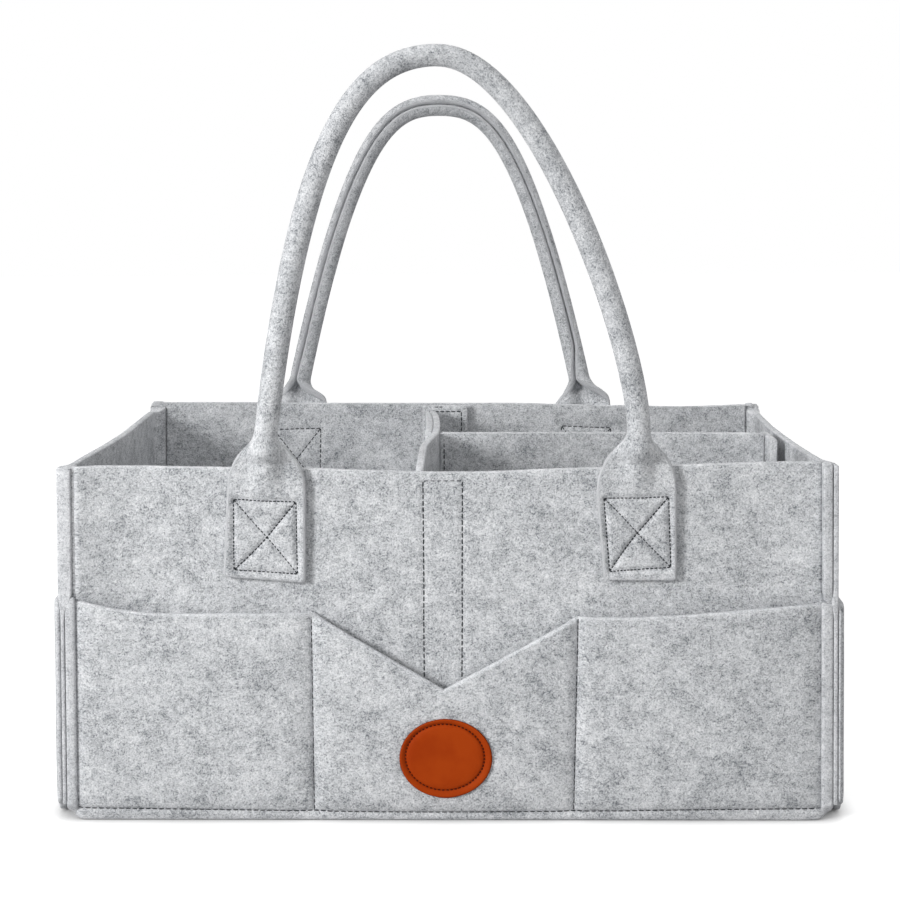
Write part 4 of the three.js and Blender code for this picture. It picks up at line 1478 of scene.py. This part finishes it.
class CADDY_OT_patch(bpy.types.Operator):
    """Builds the bare leather patch on the middle pocket, and its ring of stitches"""

    bl_idname = "caddy.build_patch"
    bl_label = "Patch"

    def execute(self, context):
        low, high = node_box("leather_patch")
        centre = (low + high) / 2
        half_x, thick, half_z = (high - low) * (0.5, 1.0, 0.5) - (PATCH_TRIM, 0, 0)
        pocket = long_pocket_sheet(-1, FRONT_POCKET_SEAMS)
        ring = settings("caddy_patch").stitch_inset / MM
        turn = np.linspace(0, 2 * math.pi, PATCH_SIDES, endpoint=False)

        def oval(inset, angle):
            """An oval inside the edge, shifted more and more towards the ring of stitches."""
            shift = min(inset / ring, 1.0)
            x = centre[0] + RING_SHIFT[0] * shift + (half_x - inset) * np.cos(angle)
            z = centre[2] + RING_SHIFT[1] * shift + (half_z - inset) * np.sin(angle)
            return x, z

        def crown(inset):
            """Height of the leather's face: rolled down at the edge, sinking towards the stitches,
            and full again inside them."""
            roll = thick * (1 - max(0.0, 1 - inset / 0.8) ** 2 * 0.5)
            sunk = PATCH_SUNK * smooth_step((inset - 0.8) / (ring - 0.8))
            groove = PATCH_GROOVE[0] * math.exp(-(((inset - ring) / PATCH_GROOVE[1]) ** 2))
            full = PATCH_SUNK * (1 - math.exp(-max(0.0, inset - ring) / 1.2))
            return roll - sunk - groove + full + PATCH_AIR

        # The first oval is the back's, the others lie on the face
        ovals = [(PATCH_AIR, 0.1)] + [(inset, crown(inset)) for inset in PATCH_OVALS]
        points = [pocket.skin(*oval(inset, turn), OUTER, height) for inset, height in ovals]
        one = np.arange(PATCH_SIDES)
        after = (one + 1) % PATCH_SIDES
        quads = []
        for start in range(0, (len(ovals) - 1) * PATCH_SIDES, PATCH_SIDES):
            corners = [one, after, after + PATCH_SIDES, one + PATCH_SIDES]
            quads.append(start + np.stack(corners, 1))
        quads += [self.cap((len(ovals) - 1) * PATCH_SIDES), self.cap(0)[:, ::-1]]
        cut = np.zeros(len(ovals) * PATCH_SIDES)
        cut[: 3 * PATCH_SIDES] = 1.0
        leather = make_object("leather_oval", np.concatenate(points), np.concatenate(quads), None, cut)
        finish_piece(leather, "tanned_cowhide", "bag", ["leather_patch"])
        steps = int(math.pi * (half_x + half_z - 2 * ring) / RING_STITCH)
        x, z = oval(ring, np.linspace(0, 2 * math.pi, steps + 1))
        holes = pocket.skin(x, z, OUTER, crown(ring) + 0.1)
        radius = RING_THREAD * settings("caddy_stitch").thread / MM
        stitches = thread_tubes(holes, pocket.normal(x, z), radius, RING_SHOWS)
        thread = make_object("patch_stitches", *stitches)
        finish_piece(thread, "patch_thread", "bag")
        return {"FINISHED"}

    def cap(self, start):
        """Four-cornered faces that close a ring of points, from side to side."""
        k = start + np.arange(PATCH_SIDES // 2 - 1)
        far = 2 * start + PATCH_SIDES - 2 - k
        return np.stack([k, k + 1, far, far + 1], 1)


# Camera: where it stood, and which way it looked
CAMERA_PLACE = (17.93, -994.7, 310.15)
CAMERA_YAW = 1.058
CAMERA_PITCH = 8.078
CAMERA_ROLL = -0.298
CAMERA_LENS = 72.0
FLOOR_REACH = 6000.0
FLOOR_SHADE_RUN = 9.0


def seen_directly(tree, *kinds):
    """1 for rays of these kinds, such as the camera's, and 0 for those that carry light."""
    path = add_node(tree, "LightPath")
    return highest(tree, [path.outputs[f"Is {kind} Ray"] for kind in kinds])


class CADDY_OT_stage(bpy.types.Operator):
    """Sets up the floor, the soft light and the camera"""

    bl_idname = "caddy.build_stage"
    bl_label = "Stage"

    def execute(self, context):
        stage = settings("caddy_stage")
        scene = context.scene
        scene.view_settings.view_transform = "Standard"
        self.camera(scene)
        self.floor(stage)
        self.world(scene, stage.fill)
        key = self.lamp("key_light", stage.key_place, stage.key_aim, stage.key_size, stage.key_power)
        key.data.spread = stage.key_spread
        self.lamp("top_light", stage.top_place, (0, 0, 0), stage.top_size, stage.top_power)
        return {"FINISHED"}

    def camera(self, scene):
        camera = bpy.data.objects.new("camera", bpy.data.cameras.new("camera"))
        scene.collection.objects.link(camera)
        yaw, pitch, roll = (math.radians(a) for a in (CAMERA_YAW, CAMERA_PITCH, CAMERA_ROLL))
        ahead = Vector((
            -math.sin(yaw) * math.cos(pitch), math.cos(yaw) * math.cos(pitch), -math.sin(pitch)
        ))
        right = Vector((math.cos(yaw), math.sin(yaw), 0))
        up = right.cross(ahead)
        turned_right = math.cos(roll) * right + math.sin(roll) * up
        turned_up = -math.sin(roll) * right + math.cos(roll) * up
        turn = Matrix((turned_right, turned_up, -ahead)).transposed().to_4x4()
        camera.matrix_world = Matrix.Translation(Vector(CAMERA_PLACE) * MM) @ turn
        camera.data.lens = CAMERA_LENS
        camera.data.sensor_width = 36.0
        scene.camera = camera

    def floor(self, stage):
        places = [(-1, -1, 0), (1, -1, 0), (1, 1, 0), (-1, 1, 0)]
        floor = make_object("floor", FLOOR_REACH * np.array(places), np.array([[0, 1, 2, 3]]))
        # White painted board: to the camera it is as bright as the backdrop, apart from the shadow
        material, tree, shader = new_material("white_painted_board")
        # The glow fades under the bag's edge, a painted contact shadow from ambient occlusion on top of
        # the lamps' own shadow, so that the bag is seen to stand on the board
        open_sky = add_node(tree, "AmbientOcclusion", {"Distance": FLOOR_SHADE_RUN * MM}, samples=8)
        seen = add_node(
            tree, "Math", {0: seen_directly(tree, "Camera", "Glossy"), 1: open_sky.outputs["AO"]},
            operation="MULTIPLY",
        )
        glow = weighted_sum(tree, 0.0, [(seen.outputs[0], stage.floor_glow)])
        feed(tree, shader, {
            "Base Color": linear(stage.floor_colour), "Roughness": 0.9, "Specular IOR Level": 0.1,
            "Emission Color": (1, 1, 1, 1), "Emission Strength": glow,
        })
        floor.data.materials.append(material)

    def world(self, scene, fill):
        scene.world = bpy.data.worlds.new("pale_studio")
        scene.world.use_nodes = True
        tree = scene.world.node_tree
        tree.nodes.clear()
        seen = seen_directly(tree, "Camera", "Glossy", "Transmission")
        level = add_node(tree, "MapRange", {"Value": seen, "To Min": fill, "To Max": 1.0})
        back = add_node(tree, "Background", {"Color": (1, 1, 1, 1), "Strength": level.outputs["Result"]})
        add_node(tree, "OutputWorld", {"Surface": back.outputs["Background"]})

    def lamp(self, name, place, aim, size, power):
        data = bpy.data.lights.new(name, "AREA")
        data.shape = "DISK"
        data.size = size
        data.energy = power
        lamp = bpy.data.objects.new(name, data)
        lamp.visible_camera = False
        bpy.context.scene.collection.objects.link(lamp)
        lamp.location = place
        way = Vector(aim) - Vector(place)
        lamp.rotation_euler = way.to_track_quat("-Z", "Y").to_euler()
        return lamp


class CADDY_PT_panel(bpy.types.Panel):
    """Lists the steps that build the caddy."""

    bl_label = "Felt caddy"
    bl_idname = "CADDY_PT_panel"
    bl_space_type = "VIEW_3D"
    bl_region_type = "UI"
    bl_category = "Caddy"

    def draw(self, context):
        for step in STEPS:
            self.layout.operator(step.bl_idname, text=step.bl_label)


GROUPS = {
    "caddy_felt": CaddyFelt,
    "caddy_stitch": CaddyStitch,
    "caddy_handle": CaddyHandle,
    "caddy_patch": CaddyPatch,
    "caddy_stage": CaddyStage,
}
STEPS = (
    CADDY_OT_stage,
    CADDY_OT_bottom,
    CADDY_OT_walls,
    CADDY_OT_pockets,
    CADDY_OT_handles,
    CADDY_OT_divider,
    CADDY_OT_tapes,
    CADDY_OT_patch,
)


def register():
    for group in (*GROUPS.values(), *STEPS, CADDY_PT_panel):
        bpy.utils.register_class(group)
    for name, group in GROUPS.items():
        setattr(bpy.types.Scene, name, bpy.props.PointerProperty(type=group))


def unregister():
    for name in GROUPS:
        delattr(bpy.types.Scene, name)
    for group in (CADDY_PT_panel, *reversed(STEPS), *GROUPS.values()):
        bpy.utils.unregister_class(group)


def main():
    register()
    for step in STEPS:
        area, name = step.bl_idname.split(".")
        getattr(getattr(bpy.ops, area), name)()


if __name__ == "__main__":
    main()
